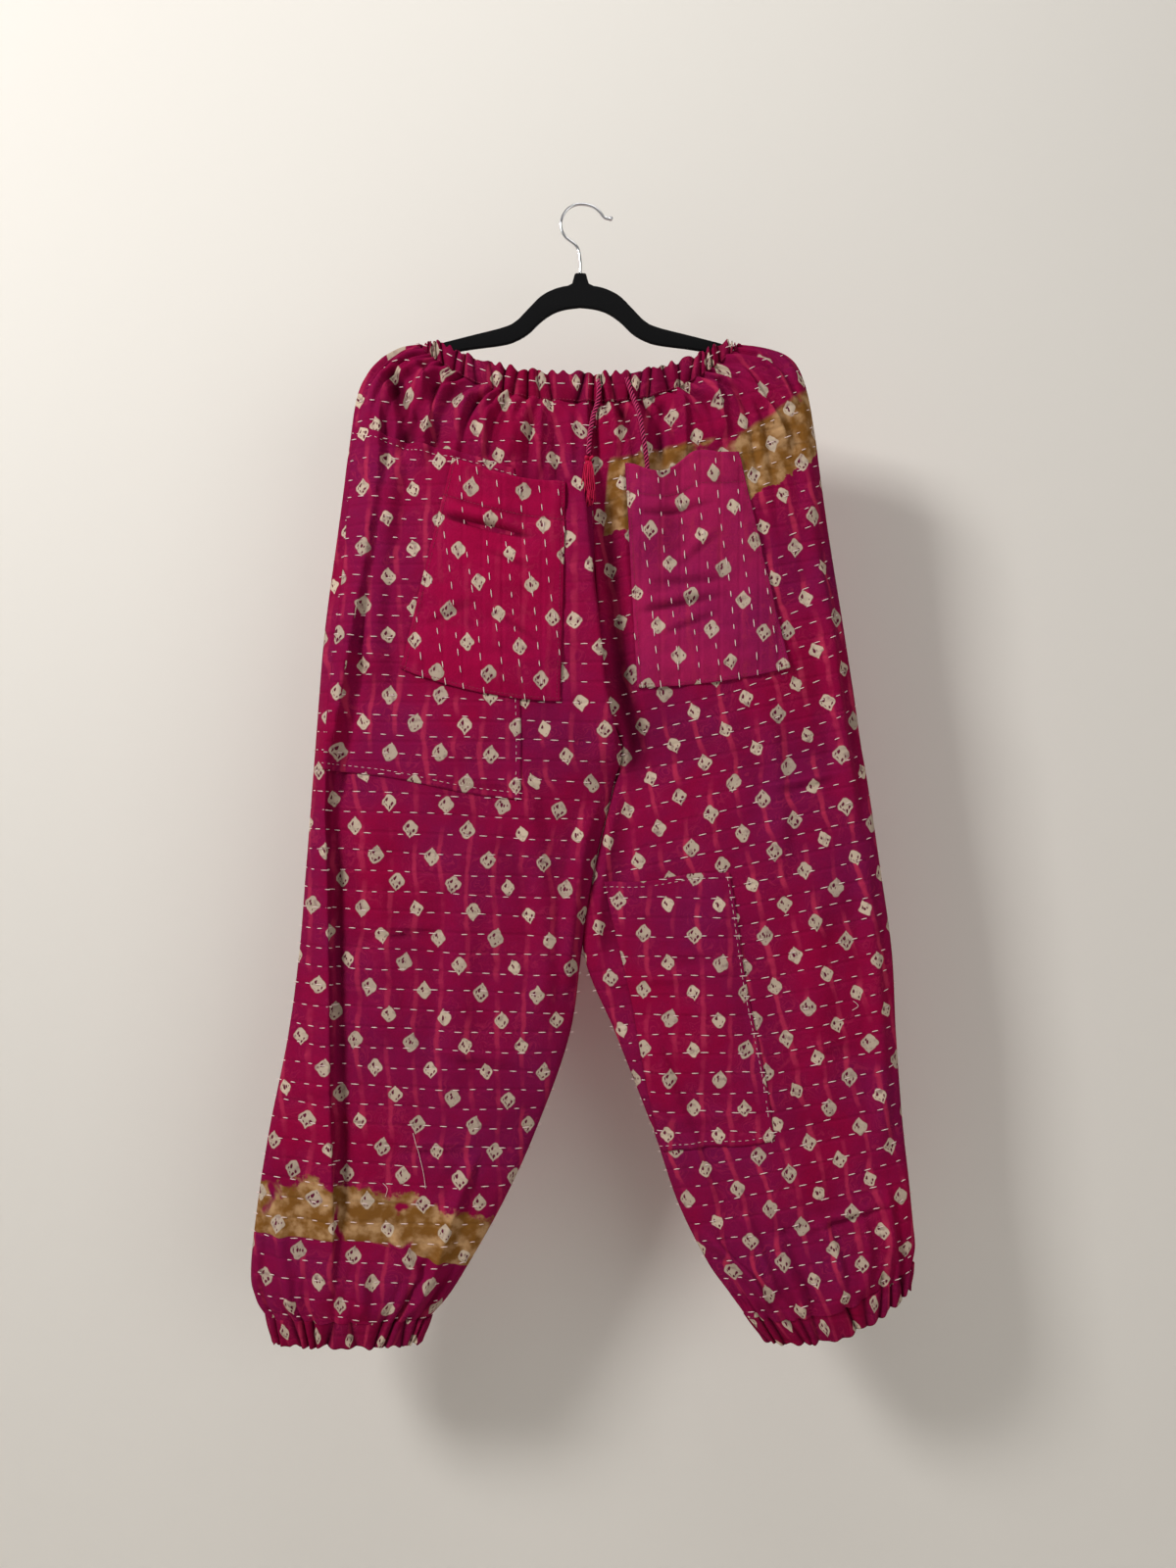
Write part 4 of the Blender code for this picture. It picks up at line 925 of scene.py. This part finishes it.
def cuffGrid(leg):
    turn = np.arange(cuff["columns"]) / cuff["columns"]
    half = cuff["columns"] // 2
    foot = {name: np.array([[value]]) for name, value in zip(sectionColumns, cuffEdges[leg])}

    def ring(s):
        front, back = tubeGrid(s, "front", 2 * turn[:half])[0], tubeGrid(s, "back", 2 - 2 * turn[half:])[0]
        return np.concatenate([front, back])
    upper, lower = ring(sectionsAt(leg, np.full(1, float(lastSection)))), ring(foot)
    over = np.roll(upper, -1, axis=0) - np.roll(upper, 1, axis=0)
    outward = np.stack([over[:, 1], -over[:, 0], np.zeros(len(over))], axis=1)
    outward /= np.maximum(np.linalg.norm(outward, axis=1, keepdims=True), 1e-9)
    if ((upper - lower.mean(axis=0)) * outward).sum() < 0:
        outward = -outward
    rows, paintedShades = [], []
    for share in np.linspace(0, 1, cuff["rows"] + 1):
        point = lerp(upper, lower, share)
        point[:, 2] += cuff["tuck"] * (1 - share)
        bulge = cuff["bulge"] * math.sin(math.pi * share)
        wave = pleatWave(turn, 2 * cloth["hemPleats"], hemSeeds[leg][0], 1.1 * share)
        frill = cuff["frill"] * max(0.0, share - cuff["frillFrom"]) / (1 - cuff["frillFrom"])
        flare = frill * (0.4 + 0.6 * unevenWave(turn, *cuff["frillWaves"]))
        point = point + outward * (cuff["proud"] + bulge + cuff["pleatHeight"] * wave + 0.5 * flare)[:, None]
        point[:, 2] += 0.6 * frill * np.sin(2 * math.pi * 19 * turn + 2.1) * np.sin(2 * math.pi * 6 * turn)
        rows.append(point)
        # painted shade in the pleats' valleys
        paintedShades.append(np.clip(0.1 - wave, 0, 1))
    points = np.stack(rows)
    run = np.concatenate([[0], np.cumsum(np.linalg.norm(np.diff(upper, axis=0), axis=1))])
    u = upper[0, 0] + (1 if leg == "right" else -1) * run * cuff["fullness"]
    uv = np.stack([np.broadcast_to(u, points.shape[:2]), points[..., 2]], axis=-1)
    return gridOf(points, uv, leg == "left", np.stack(paintedShades))


cuffGrids = {leg: cuffGrid(leg) for leg in legs}
cuffs = {leg: clothPiece("ankleCasing" + leg.capitalize(), grid, cuff["thickness"], "clothCasingShaded", "casing",
                         f"cuff_{leg}", wrap=True) for leg, grid in cuffGrids.items()}


# Pieces that lie on the front: pockets and mending patches
def surfaceTree(pieces):
    places, faces = [], []
    for made in pieces:
        start = len(places)
        places += [v.co.copy() for v in made.data.vertices]
        faces += [tuple(start + i for i in f.vertices) for f in made.data.polygons]
    return BVHTree.FromPolygons(places, faces)


def frontDepth(tree, x, z):
    y = np.zeros_like(x)
    for index in np.ndindex(x.shape):
        hit = tree.ray_cast(Vector((x[index] * mm, -0.5, z[index] * mm)), Vector((0, 1, 0)))[0]
        y[index] = hit.y / mm if hit else -8.0
    return y


def windowed(values, reach, pick):
    padded = np.pad(values, reach, mode="edge")
    shifts = [padded[i:i + values.shape[0], j:j + values.shape[1]]
              for i in range(2 * reach + 1) for j in range(2 * reach + 1)]
    return pick(np.stack(shifts), axis=0)


def laidGrid(tree, x, z, bridge, gap):
    # a piece that lies on the front: it bridges narrow valleys and clears every crest
    lowest = windowed(frontDepth(tree, x, z), bridge, np.min)
    y = windowed(lowest, max(1, bridge // 2), np.mean) - gap
    return np.stack([x, y, z], axis=-1)


def fourCornered(corners, columns, rows):
    # even shares across and down, and the places between four corners, clockwise from the upper left
    a, d = np.meshgrid(np.linspace(0, 1, columns + 1), np.linspace(0, 1, rows + 1))
    (x0, z0), (x1, z1), (x2, z2), (x3, z3) = corners
    return a, d, lerp(lerp(x0, x1, a), lerp(x3, x2, a), d), lerp(lerp(z0, z1, a), lerp(z3, z2, a), d)


patches = {
    "patchSide": {"leg": "right", "node": "patch_side_right", "columns": 80, "rows": 130,
                  "corners": ((-216, -219), (-64, -262), (-57, -573), (-243, -543))},
    "patchKnee": {"leg": "left", "node": "patch_knee_left", "columns": 70, "rows": 100,
                  "corners": ((22, -652), (138, -640), (183, -896), (76, -907))},
}
patchCloth = {"thickness": 0.8, "gap": 1.0, "waverX": 1.2, "waverZ": 1.4}


def patchGrid(patch):
    a, d, x, z = fourCornered(patch["corners"], patch["columns"], patch["rows"])
    x += patchCloth["waverX"] * np.sin(9 * d + 1) * (2 * a - 1)
    z += patchCloth["waverZ"] * np.sin(8 * a + 2) * (1 - 2 * d)
    points = laidGrid(underPatches, x, z, 1, 0)
    points[..., 1] = np.minimum(points[..., 1], frontDepth(underPatches, x, z)) - patchCloth["gap"]
    return gridOf(points, np.stack([x, z], axis=-1), False)


underPatches = surfaceTree(frontPanels)
print("mending patches")
patchGrids = {name: patchGrid(patch) for name, patch in patches.items()}
for name, patch in patches.items():
    patch["object"] = clothPiece(name, patchGrids[name], patchCloth["thickness"], "clothPatch", "patch",
                                 patch["node"])


pockets = {
    "pocketRight": {
        "node": "pocket_right", "material": "clothPocketRight", "sag": 14, "hem": 34, "gape": 6.0,
        "corners": ((-121, -252), (-15, -276), (-20, -480), (-171, -449)), "dips": ((0.5, 0.6, -6),),
    },
    "pocketLeft": {
        "node": "pocket_left", "material": "clothPocketLeft", "sag": 9, "hem": 28, "gape": 1.8,
        "corners": ((40, -259), (147, -246), (196, -448), (52, -467)),
        "dips": ((0.30, 0.32, -12), (0.64, 0.22, 4)),
        "lump": {"x": 62, "z": -292, "reachX": 36, "reachZ": 100, "height": 8.5},
    },
}
pocketCloth = {"columns": 76, "rows": 92, "thickness": 1.4, "pillow": 2.4, "gap": 1.7, "hollowShadeDepth": 2.4,
               "swell": 1.7, "pucker": 0.4, "warp": 1.2, "seamPucker": 0.8, "hemDip": 0.6, "mouthRoll": 1.4}
pocketFolds = {
    "pocket_left": (((52, -389), (126, -374), 9, 2.6), ((66, -361), (134, -357), 10, 1.6),
                    ((74, -411), (124, -391), 8, 1.6), ((92, -344), (124, -319), 8, 1.5)),
    "pocket_right": (((-70, -395), (-35, -420), 9, 1.4), ((-150, -400), (-105, -380), 10, 1.5),
                     ((-95, -330), (-40, -352), 8, 1.4)),
}


def pocketGrid(pocket, tree):
    a, d, x, z = fourCornered(pocket["corners"], pocketCloth["columns"], pocketCloth["rows"])
    (x0, z0), (x1, z1), (x2, z2), (x3, z3) = pocket["corners"]
    for middle, reach, depth in pocket["dips"]:
        z += depth * softBump((a - middle) / reach) * (1 - d) ** 4
    z -= pocket["sag"] * 2 * a * (1 - a) * d
    points = laidGrid(tree, x, z, 6, pocketCloth["gap"])
    edge = smoothStep(a / 0.12) * smoothStep((1 - a) / 0.12) * smoothStep((1 - d) / 0.10)
    lift = pocketCloth["pillow"] * edge + pocketCloth["swell"] * smoothNoise(x, z, 27, 31) * edge
    lift += pocketCloth["pucker"] * smoothNoise(x, z, 8, 32)
    lift += pocketCloth["warp"] * smoothNoise(2.6 * z, 0.45 * x, 34, 33) * edge
    down = d * (z0 - z3)
    fromSeam = np.minimum(np.minimum(a, 1 - a) * (x1 - x0), (1 - d) * (z0 - z3))
    lift += pocketCloth["seamPucker"] * np.exp(-fromSeam / 5) * smoothNoise(x + z, z - x, 9, 34)
    gape = softBump((down - pocket["hem"] - 10) / 9) - softBump((down - pocket["hem"] - 18) / 4.5)
    lift += pocket["gape"] * gape * softBump((a - 0.35) / 0.5) * edge
    lift -= pocketCloth["hemDip"] * softBump((down - pocket["hem"]) / 2.5)
    lift += pocketCloth["mouthRoll"] * (1 - smoothStep(down / 8)) * edge
    for (xa, za), (xb, zb), reach, height in pocketFolds[pocket["node"]]:
        along = math.hypot(xb - xa, zb - za)
        t = ((x - xa) * (xb - xa) + (z - za) * (zb - za)) / along ** 2
        off = ((x - xa) * (zb - za) - (z - za) * (xb - xa)) / along
        ridge = softBump(off / reach) - 0.9 * softBump((off - 0.8 * reach) / (0.55 * reach))
        lift += height * ridge * softBump((t - 0.5) / 0.75) * edge
    if "lump" in pocket:
        lump = pocket["lump"]
        bump = softBump((x - lump["x"]) / lump["reachX"]) * softBump((z - lump["z"]) / lump["reachZ"])
        lift += lump["height"] * bump
    points[..., 1] -= lift
    # painted shade in the pocket's hollows, darker the deeper each lies below its neighbours
    hollow = points[..., 1] - windowed(points[..., 1], 3, np.mean)
    paintedShade = np.clip(hollow / pocketCloth["hollowShadeDepth"], 0, 1)
    return gridOf(points, np.stack([x, z], axis=-1), False, paintedShade)


print("sewing on the pockets")
underPockets = surfaceTree([*frontPanels, patches["patchSide"]["object"]])
pocketGrids = {name: pocketGrid(pocket, underPockets) for name, pocket in pockets.items()}
for name, pocket in pockets.items():
    pocket["object"] = clothPiece(name, pocketGrids[name], pocketCloth["thickness"], pocket["material"],
                                  "pocket", pocket["node"])


print("sewing the running stitch")
kantha = {
    "spacing": 18.5, "proud": 0.4, "jitter": 0.7, "wander": 0.9, "shortest": 8,
    "slopes": {"FrontRight": -0.04, "FrontLeft": 0.21, "BackRight": 0.03, "BackLeft": 0.03,
               "patchSide": -0.04, "patchKnee": 0.01, "pocket": -0.12},
}
hipTilt = {"slope": 0.16, "fromX": 140, "fromZ": -600, "reach": 160}
kanthaStitch = {"Pitch": 0.0155, "Length": 0.0070, "Thickness": 0.0010, "Skipped": 0.06, "Unevenness": 0.25}
topStitch = {"Pitch": 0.0034, "Length": 0.0026, "Thickness": 0.00055, "Skipped": 0.02, "Unevenness": 0.12}
edgeStitch = {"Pitch": 0.0062, "Length": 0.0036, "Thickness": 0.00055, "Skipped": 0.08, "Unevenness": 0.3}


def insideAny(pieces):
    # a test for places in the front view inside one of some four-cornered pieces
    rings = [[Vector(c) for c in piece["corners"]] for piece in pieces]

    def test(place):
        here = Vector((place[0], place[2]))
        turns = ([(b - a).cross(here - a) for a, b in zip(ring, ring[1:] + ring[:1])] for ring in rings)
        return any(max(turn) < 0 or min(turn) > 0 for turn in turns)
    return test


def insetLine(grid, share, lift=0.2, across=True):
    # a line on a piece, across it at a share of its height or down it at a share of its width
    points = grid["points"] + grid["normals"] * lift
    points = points if across else np.swapaxes(points, 0, 1)
    at = share * (len(points) - 1)
    i = min(int(at), len(points) - 2)
    return list(lerp(points[i], points[i + 1], at - i))


onFront, onPocket = insideAny([*patches.values(), *pockets.values()]), insideAny(pockets.values())
for seedNumber, ((leg, side), grid) in enumerate(grids.items(), 4):
    name = side.capitalize() + leg.capitalize()
    lines = levelLines(grid, kantha["slopes"][name], covered=onFront if side == "front" else None,
                       tilt=hipTilt if name == "FrontLeft" else None)
    sewStitches("stitches" + name, lines, "threadPale", kanthaStitch, seedNumber)
lines = levelLines(patchGrids["patchSide"], kantha["slopes"]["patchSide"], covered=onPocket)
lines += levelLines(patchGrids["patchKnee"], kantha["slopes"]["patchKnee"])
sewStitches("stitchesPatches", lines, "threadPale", kanthaStitch, 21)
lines = sum([levelLines(grid, kantha["slopes"]["pocket"], upright=True) for grid in pocketGrids.values()], [])
sewStitches("stitchesPockets", lines, "threadPale", kanthaStitch, 22)
lines = [insetLine(grid, 0.93, 0.1) for grid in casingGrids.values()]
sewStitches("topstitchWaist", lines, "threadDark", topStitch, 5)
lines = [insetLine(grid, 0.42, 0.4)[6:-6] for grid in casingGrids.values()]
sewStitches("stitchesWaist", lines, "threadPale", kanthaStitch, 23)
lines = []
for name, grid in pocketGrids.items():
    corners, hem = pockets[name]["corners"], pockets[name]["hem"]
    lines += [insetLine(grid, share, across=False) for share in (0.025, 0.975)]
    lines += [insetLine(grid, share) for share in (0.985, hem / (corners[0][1] - corners[3][1]))]
sewStitches("topstitchPockets", lines, "threadDark", topStitch, 5)
lines = []
for grid in patchGrids.values():
    lines += [insetLine(grid, 0.02), insetLine(grid, 0.98), insetLine(grid, 0.975, across=False)]
sewStitches("edgeStitchPatches", lines, "threadPale", edgeStitch, 9)


print("twisting the drawstring")
drawstring = {
    "diameter": 4.8, "ply": 1.15, "plies": 3, "sides": 8, "step": 0.7, "twistPitch": 10.5, "clear": 2.3,
    "grooveShade": 4.0,
}
cords = {
    "cordRight": {
        "node": "drawstring_cord_right", "tassel": "tasselRight",
        "route": ((15, -37.0, -180), (16, -39.0, -190), (14.5, -40.0, -202), (10.5, -40.6, -215),
                  (8, -41.0, -228), (6.8, -41.2, -241), (6.2, -41.3, -251)),
    },
    "cordLeft": {
        "node": "drawstring_cord_left", "tassel": "tasselLeft",
        "route": ((42, -36.6, -178), (45.5, -38.6, -190), (50, -39.8, -203), (53.5, -40.6, -216),
                  (56, -41.0, -230), (58.5, -41.2, -244), (60.5, -41.2, -258), (61.5, -41.0, -268)),
    },
}
tassels = {
    "tasselRight": {
        "node": "tassel_right", "top": (6, -42.3, -251.1), "length": 50, "width": 12.5, "depth": 7.0,
        "strands": 28,
    },
    "tasselLeft": {
        "node": "tassel_left", "top": (61.7, -40.8, -268.2), "length": 42, "width": 9.0, "depth": 4.2,
        "strands": 24,
    },
}
tasselForm = {
    "knot": 1.45, "knotDrop": 4.6, "skirtDrop": 6.5, "strand": (0.55, 0.42), "steps": 9, "shortest": 0.82,
    "sway": 2.4, "wave": 1.1, "goldenTurn": 2.399963,
}


def sweptTube(bm, path, radii, sides, turnPer=0.0, offset=0.0, start=0.0):
    # a tube along a path, or one ply of a twisted cord when it has an offset and a turn
    path = np.asarray(path, float)
    tangents = np.gradient(path, axis=0)
    tangents /= np.linalg.norm(tangents, axis=1, keepdims=True)
    side = np.cross(tangents[0], (0.3, 1.0, 0.2))
    rings, run = [], 0.0
    for k, (here, along) in enumerate(zip(path, tangents)):
        side = side - along * np.dot(side, along)
        side /= np.linalg.norm(side)
        other = np.cross(along, side)
        if k:
            run += np.linalg.norm(here - path[k - 1])
        turn = start + turnPer * run
        middle = here + offset * (math.cos(turn) * side + math.sin(turn) * other)
        radius = radii[k] if hasattr(radii, "__len__") else radii
        ring = []
        for j in range(sides):
            a = 2 * math.pi * j / sides + turn
            ring.append(bm.verts.new((middle + radius * (math.cos(a) * side + math.sin(a) * other)) * mm))
        rings.append(ring)
    for a, b in zip(rings, rings[1:]):
        for j in range(sides):
            bm.faces.new((a[j], a[(j + 1) % sides], b[(j + 1) % sides], b[j]))
    bm.faces.new(rings[0][::-1])
    bm.faces.new(rings[-1])


def meshObject(name, bm):
    bmesh.ops.recalc_face_normals(bm, faces=bm.faces)
    mesh = bpy.data.meshes.new(name)
    bm.to_mesh(mesh)
    bm.free()
    mesh.shade_smooth()
    return newObject(name, mesh)


def evenPath(route, step):
    fine = splineRows(route, np.linspace(0, len(route) - 1, 400))
    run = np.concatenate([[0], np.cumsum(np.linalg.norm(np.diff(fine, axis=0), axis=1))])
    at = np.linspace(0, run[-1], max(3, int(run[-1] / step)))
    return np.stack([np.interp(at, run, fine[:, k]) for k in range(3)], axis=1)


def twistedCord(name, route):
    # plies turned about a path that lies on the crests of the cloth, with painted shade in their grooves
    bm = bmesh.new()
    radius, ply, step = drawstring["diameter"] / 2, drawstring["ply"], drawstring["step"]
    path = evenPath(route, step)
    under = windowed(frontDepth(underCords, path[:, :1], path[:, 2:]), 3, np.min)[:, 0] - drawstring["clear"]
    under = np.convolve(np.pad(under, 6, mode="edge"), np.ones(13) / 13, mode="valid")
    path[:, 1] += np.minimum(under - path[:, 1], 0) * smoothStep(np.arange(len(path)) / 16)
    path = evenPath(path[::6], step)
    for k in range(drawstring["plies"]):
        sweptTube(bm, path, ply, drawstring["sides"], 2 * math.pi / drawstring["twistPitch"], radius - ply,
                  2 * math.pi * k / drawstring["plies"])
    made = meshObject(name, bm)
    places = np.array([v.co for v in made.data.vertices]) / mm
    axis = np.tile(np.repeat(path, drawstring["sides"], axis=0), (drawstring["plies"], 1))
    # painted shade: darker the nearer a place lies to the cord's middle, in the grooves between plies
    deep = 1 - np.linalg.norm(places - axis, axis=1) / radius
    paintedShade = made.data.attributes.new("paintedShade", "FLOAT", "POINT")
    paintedShade.data.foreach_set("value", np.clip(deep * drawstring["grooveShade"], 0, 1))
    return made, path


def tasselObject(name, tassel):
    # an overhand knot and its strands, which spread and sway a little
    bm = bmesh.new()
    form = tasselForm
    x, y, z = tassel["top"]
    t = np.linspace(0, 2 * math.pi, 60)
    knot = (x + 2.5 * np.sin(t + 0.6) + 1.1 * np.sin(2 * t), y + tassel["depth"] / 4.2 * np.cos(3 * t),
            z - form["knotDrop"] + 3.0 * np.cos(t) - 0.9 * np.cos(2 * t))
    sweptTube(bm, np.stack(knot, axis=1), form["knot"], 8)
    for k in range(tassel["strands"]):
        turn = form["goldenTurn"] * k
        ring = math.sqrt((k + 0.5) / tassel["strands"])
        outX = math.cos(turn) * ring * tassel["width"] / 2
        outY = math.sin(turn) * ring * tassel["depth"] / 2
        long = (tassel["length"] - 8) * rng.uniform(form["shortest"], 1.0)
        sway = rng.uniform(-form["sway"], form["sway"], 2)
        s = np.linspace(0, 1, form["steps"])
        pinch = 0.45 + 0.55 * np.sin(np.clip(s * 1.9, 0, 1) * math.pi / 2)
        strand = (x + outX * pinch + sway[0] * s ** 2 + form["wave"] * np.sin(11 * s + 1.7 * k) * s,
                  y + outY * pinch + 0.4 * sway[1] * s ** 2, z - form["skirtDrop"] - long * s)
        sweptTube(bm, np.stack(strand, axis=1), np.linspace(*form["strand"], form["steps"]), 5)
    return meshObject(name, bm)


underCords = surfaceTree([*frontPanels, casings["front"]])
tasselPieces = {name: dress(tasselObject(name, tassel), "tasselCotton", "tassel", tassel["node"])
                for name, tassel in tassels.items()}
for name, cord in cords.items():
    made, path = twistedCord(name, cord["route"])
    dress(made, "cordCotton", "cord", cord["node"])
    long = float(np.linalg.norm(np.diff(path, axis=0), axis=1).sum()) * mm


print("shaping the hanger")
# The profile is a half: x, the arm's upper edge and its lower edge
hanger = {
    "middleX": -1.6, "thickness": 5.6, "edge": 1.6, "weld": 0.02, "sharp": 50,
    "collar": ((4.1, -65.5), (5.5, -66.3), (6.5, -70), (8.1, -75.5)), "profileFrom": 11.5,
    "profile": ((0, -76.5, -98.3), (15, -78.0, -100.2), (27, -81.5, -104.5), (38.5, -88.0, -112.5),
                (50, -99.5, -123.5), (62, -111.5, -130.5), (75, -117.8, -134.5), (108, -126.2, -139.0),
                (138, -134.2, -144.5), (149, -139.6, -147.5), (157, -140.6, -149.5), (170, -142.9, -153.5),
                (182, -149.6, -158.5), (188, -154.8, -160.0)),
    "hook": ((-1.6, -65.2), (-1.8, -52), (-5, -39.5), (-16.5, -29.5), (-20.6, -18), (-17, -6.8), (-9.5, -0.3),
             (0, 1.6), (10, -0.8), (17.2, -6.2), (21, -11), (25.5, -12.6), (30, -11.6)),
    "wireRadius": 1.5, "ballRadius": 2.5, "hookStep": 1.2,
}


def hangerBody():
    rows = splineRows(hanger["profile"], np.linspace(0, len(hanger["profile"]) - 1, 110))
    outline = list(hanger["collar"]) + [(row[0], row[1]) for row in rows if row[0] > hanger["profileFrom"]]
    outline += [(row[0], row[2]) for row in rows[::-1]]
    outline += [(-x, z) for x, z in outline[-2::-1]]
    curve = bpy.data.curves.new("hangerBody", "CURVE")
    curve.dimensions = "2D"
    curve.fill_mode = "BOTH"
    curve.extrude = (hanger["thickness"] / 2 - hanger["edge"]) * mm
    curve.bevel_depth = hanger["edge"] * mm
    curve.bevel_resolution = 4
    curve.offset = -hanger["edge"] * mm
    spline = curve.splines.new("POLY")
    spline.points.add(len(outline) - 1)
    spline.use_cyclic_u = True
    for point, (x, z) in zip(spline.points, outline):
        point.co = ((x + hanger["middleX"]) * mm, z * mm, 0, 1)
    bm = bmesh.new()
    bm.from_mesh(plainMesh(newObject("hangerOutline", curve)))
    bmesh.ops.remove_doubles(bm, verts=bm.verts, dist=hanger["weld"] * mm)
    for v in bm.verts:
        v.co = (v.co.x, -v.co.z, v.co.y)
    made = meshObject("hangerBody", bm)
    made.data.set_sharp_from_angle(angle=math.radians(hanger["sharp"]))
    return made


def hangerHook():
    # a bent wire whose free end swells to a ball
    bm = bmesh.new()
    wire, ball, step = hanger["wireRadius"], hanger["ballRadius"], hanger["hookStep"]
    path = evenPath([(x, 0, z) for x, z in hanger["hook"]], step)
    tip = np.arange(len(path))[::-1] * step
    swelling = np.sqrt(np.clip(ball ** 2 - (tip - ball - 0.1) ** 2, 0.05, None))
    radii = np.where(tip < 2 * ball - 0.4, np.maximum(swelling, np.where(tip > ball + 0.1, wire, 0.0)), wire)
    sweptTube(bm, path, radii, 14)
    return meshObject("hangerHook", bm)


dress(hangerBody(), "blackNap", "nap", "hanger_body")
dress(hangerHook(), "chromeWire", "chrome", "hanger_hook")


# Loose thread ends, each through (x, z) on the front
threads = (
    ((-160, -888), (-155, -905), (-150, -925), (-148, -940)),
    ((-188, -935), (-184, -940), (-186, -948)),
    ((257, -763), (262, -768), (256, -772)),
)
threadRadius, threadClear = 0.24, 1.2
bm = bmesh.new()
for route in threads:
    flat = splineRows(route, np.linspace(0, len(route) - 1, 14))
    y = frontDepth(underPockets, flat[:, 0], flat[:, 1]) - threadClear
    sweptTube(bm, np.stack([flat[:, 0], y, flat[:, 1]], axis=1), threadRadius, 5)
dress(meshObject("looseThreads", bm), "threadPale", "cloth")


# Each sheet's grid once more, a closed one with its first column repeated at its end; nothing is kept of it
print("declaring the cloth")


def declareSheet(grid, wrap=False):
    points = grid["points"]
    if wrap:
        points = np.concatenate([points, points[:, :1]], axis=1)


for key, panel in panels.items():
    declareSheet(grids[key])
for side, band in casings.items():
    declareSheet(casingGrids[side])
for leg, hem in cuffs.items():
    declareSheet(cuffGrids[leg], wrap=True)
for name, pocket in pockets.items():
    declareSheet(pocketGrids[name])
for name, patch in patches.items():
    declareSheet(patchGrids[name])


print("setting the stage")


def stagePlane(name, corners, colour):
    mesh = bpy.data.meshes.new(name)
    mesh.from_pydata(corners, [], [(0, 1, 2, 3)])
    made = newObject(name, mesh)
    material, tree, shader = newMaterial(name)
    shader.inputs["Base Color"].default_value = (*colour, 1)
    shader.inputs["Roughness"].default_value = 0.9
    # seen from its front only, and it throws no shadow
    facing, path = put(tree, "ShaderNodeNewGeometry"), put(tree, "ShaderNodeLightPath")
    unseen = maths(tree, "MAXIMUM", facing.outputs["Backfacing"], path.outputs["Is Shadow Ray"])
    clear = put(tree, "ShaderNodeBsdfTransparent").outputs[0]
    mixed = put(tree, "ShaderNodeMixShader", (unseen, shader.outputs[0], clear))
    tree.links.new(mixed.outputs[0], tree.nodes["Material Output"].inputs[0])
    mesh.materials.append(material)
    return made


half, back, foot, tall = stage["wide"] / 2, stage["wallY"], stage["floorZ"], stage["tall"]
long, deep = 2 * half, stage["floorReach"]
stagePlane("wall", [(-half, back, foot), (half, back, foot), (half, back, foot + tall),
                    (-half, back, foot + tall)], stage["paint"])
stagePlane("floor", [(-long, -deep, foot), (long, -deep, foot), (long, deep, foot), (-long, deep, foot)],
           stage["floorPaint"])

lights = {
    "key": {"at": (-1.6, -1.6, 0.75), "size": 0.6, "power": 52},
    "fill": {"at": (1.5, -2.2, -0.5), "size": 1.8, "power": 15},
    "top": {"at": (0.1, -0.7, 1.1), "size": 0.8, "power": 5},
    "rear": {"at": (0.9, 2.2, 0.3), "size": 1.6, "power": 45},
}
for name, light in lights.items():
    data = bpy.data.lights.new(name, "AREA")
    data.energy = light["power"]
    data.size = light["size"]
    lamp = newObject(name, data)
    lamp.location = light["at"]
    aim = Vector(stage["lightsAt"]) - Vector(light["at"])
    lamp.rotation_euler = aim.to_track_quat("-Z", "Y").to_euler()
world = bpy.data.worlds.new("softRoom")
world.use_nodes = True
sky = world.node_tree.nodes["Background"]
sky.inputs[0].default_value = stage["sky"]
seen = put(world.node_tree, "ShaderNodeLightPath").outputs["Is Camera Ray"]
strength = maths(world.node_tree, "MULTIPLY", seen, stage["skySeen"])
strength = maths(world.node_tree, "ADD", stage["skyFill"], strength)
world.node_tree.links.new(strength, sky.inputs[1])
bpy.context.scene.world = world
bpy.context.scene.view_settings.view_transform = "Standard"

lens = bpy.data.cameras.new("camera")
lens.sensor_width = camera["sensor"]
lens.lens = camera["sensor"] * camera["distance"] / camera["frameHeight"]
viewer = newObject("camera", lens)
viewer.location = (camera["across"], -camera["distance"], camera["height"])
viewer.rotation_euler = (math.pi / 2, 0, 0)
bpy.context.scene.camera = viewer
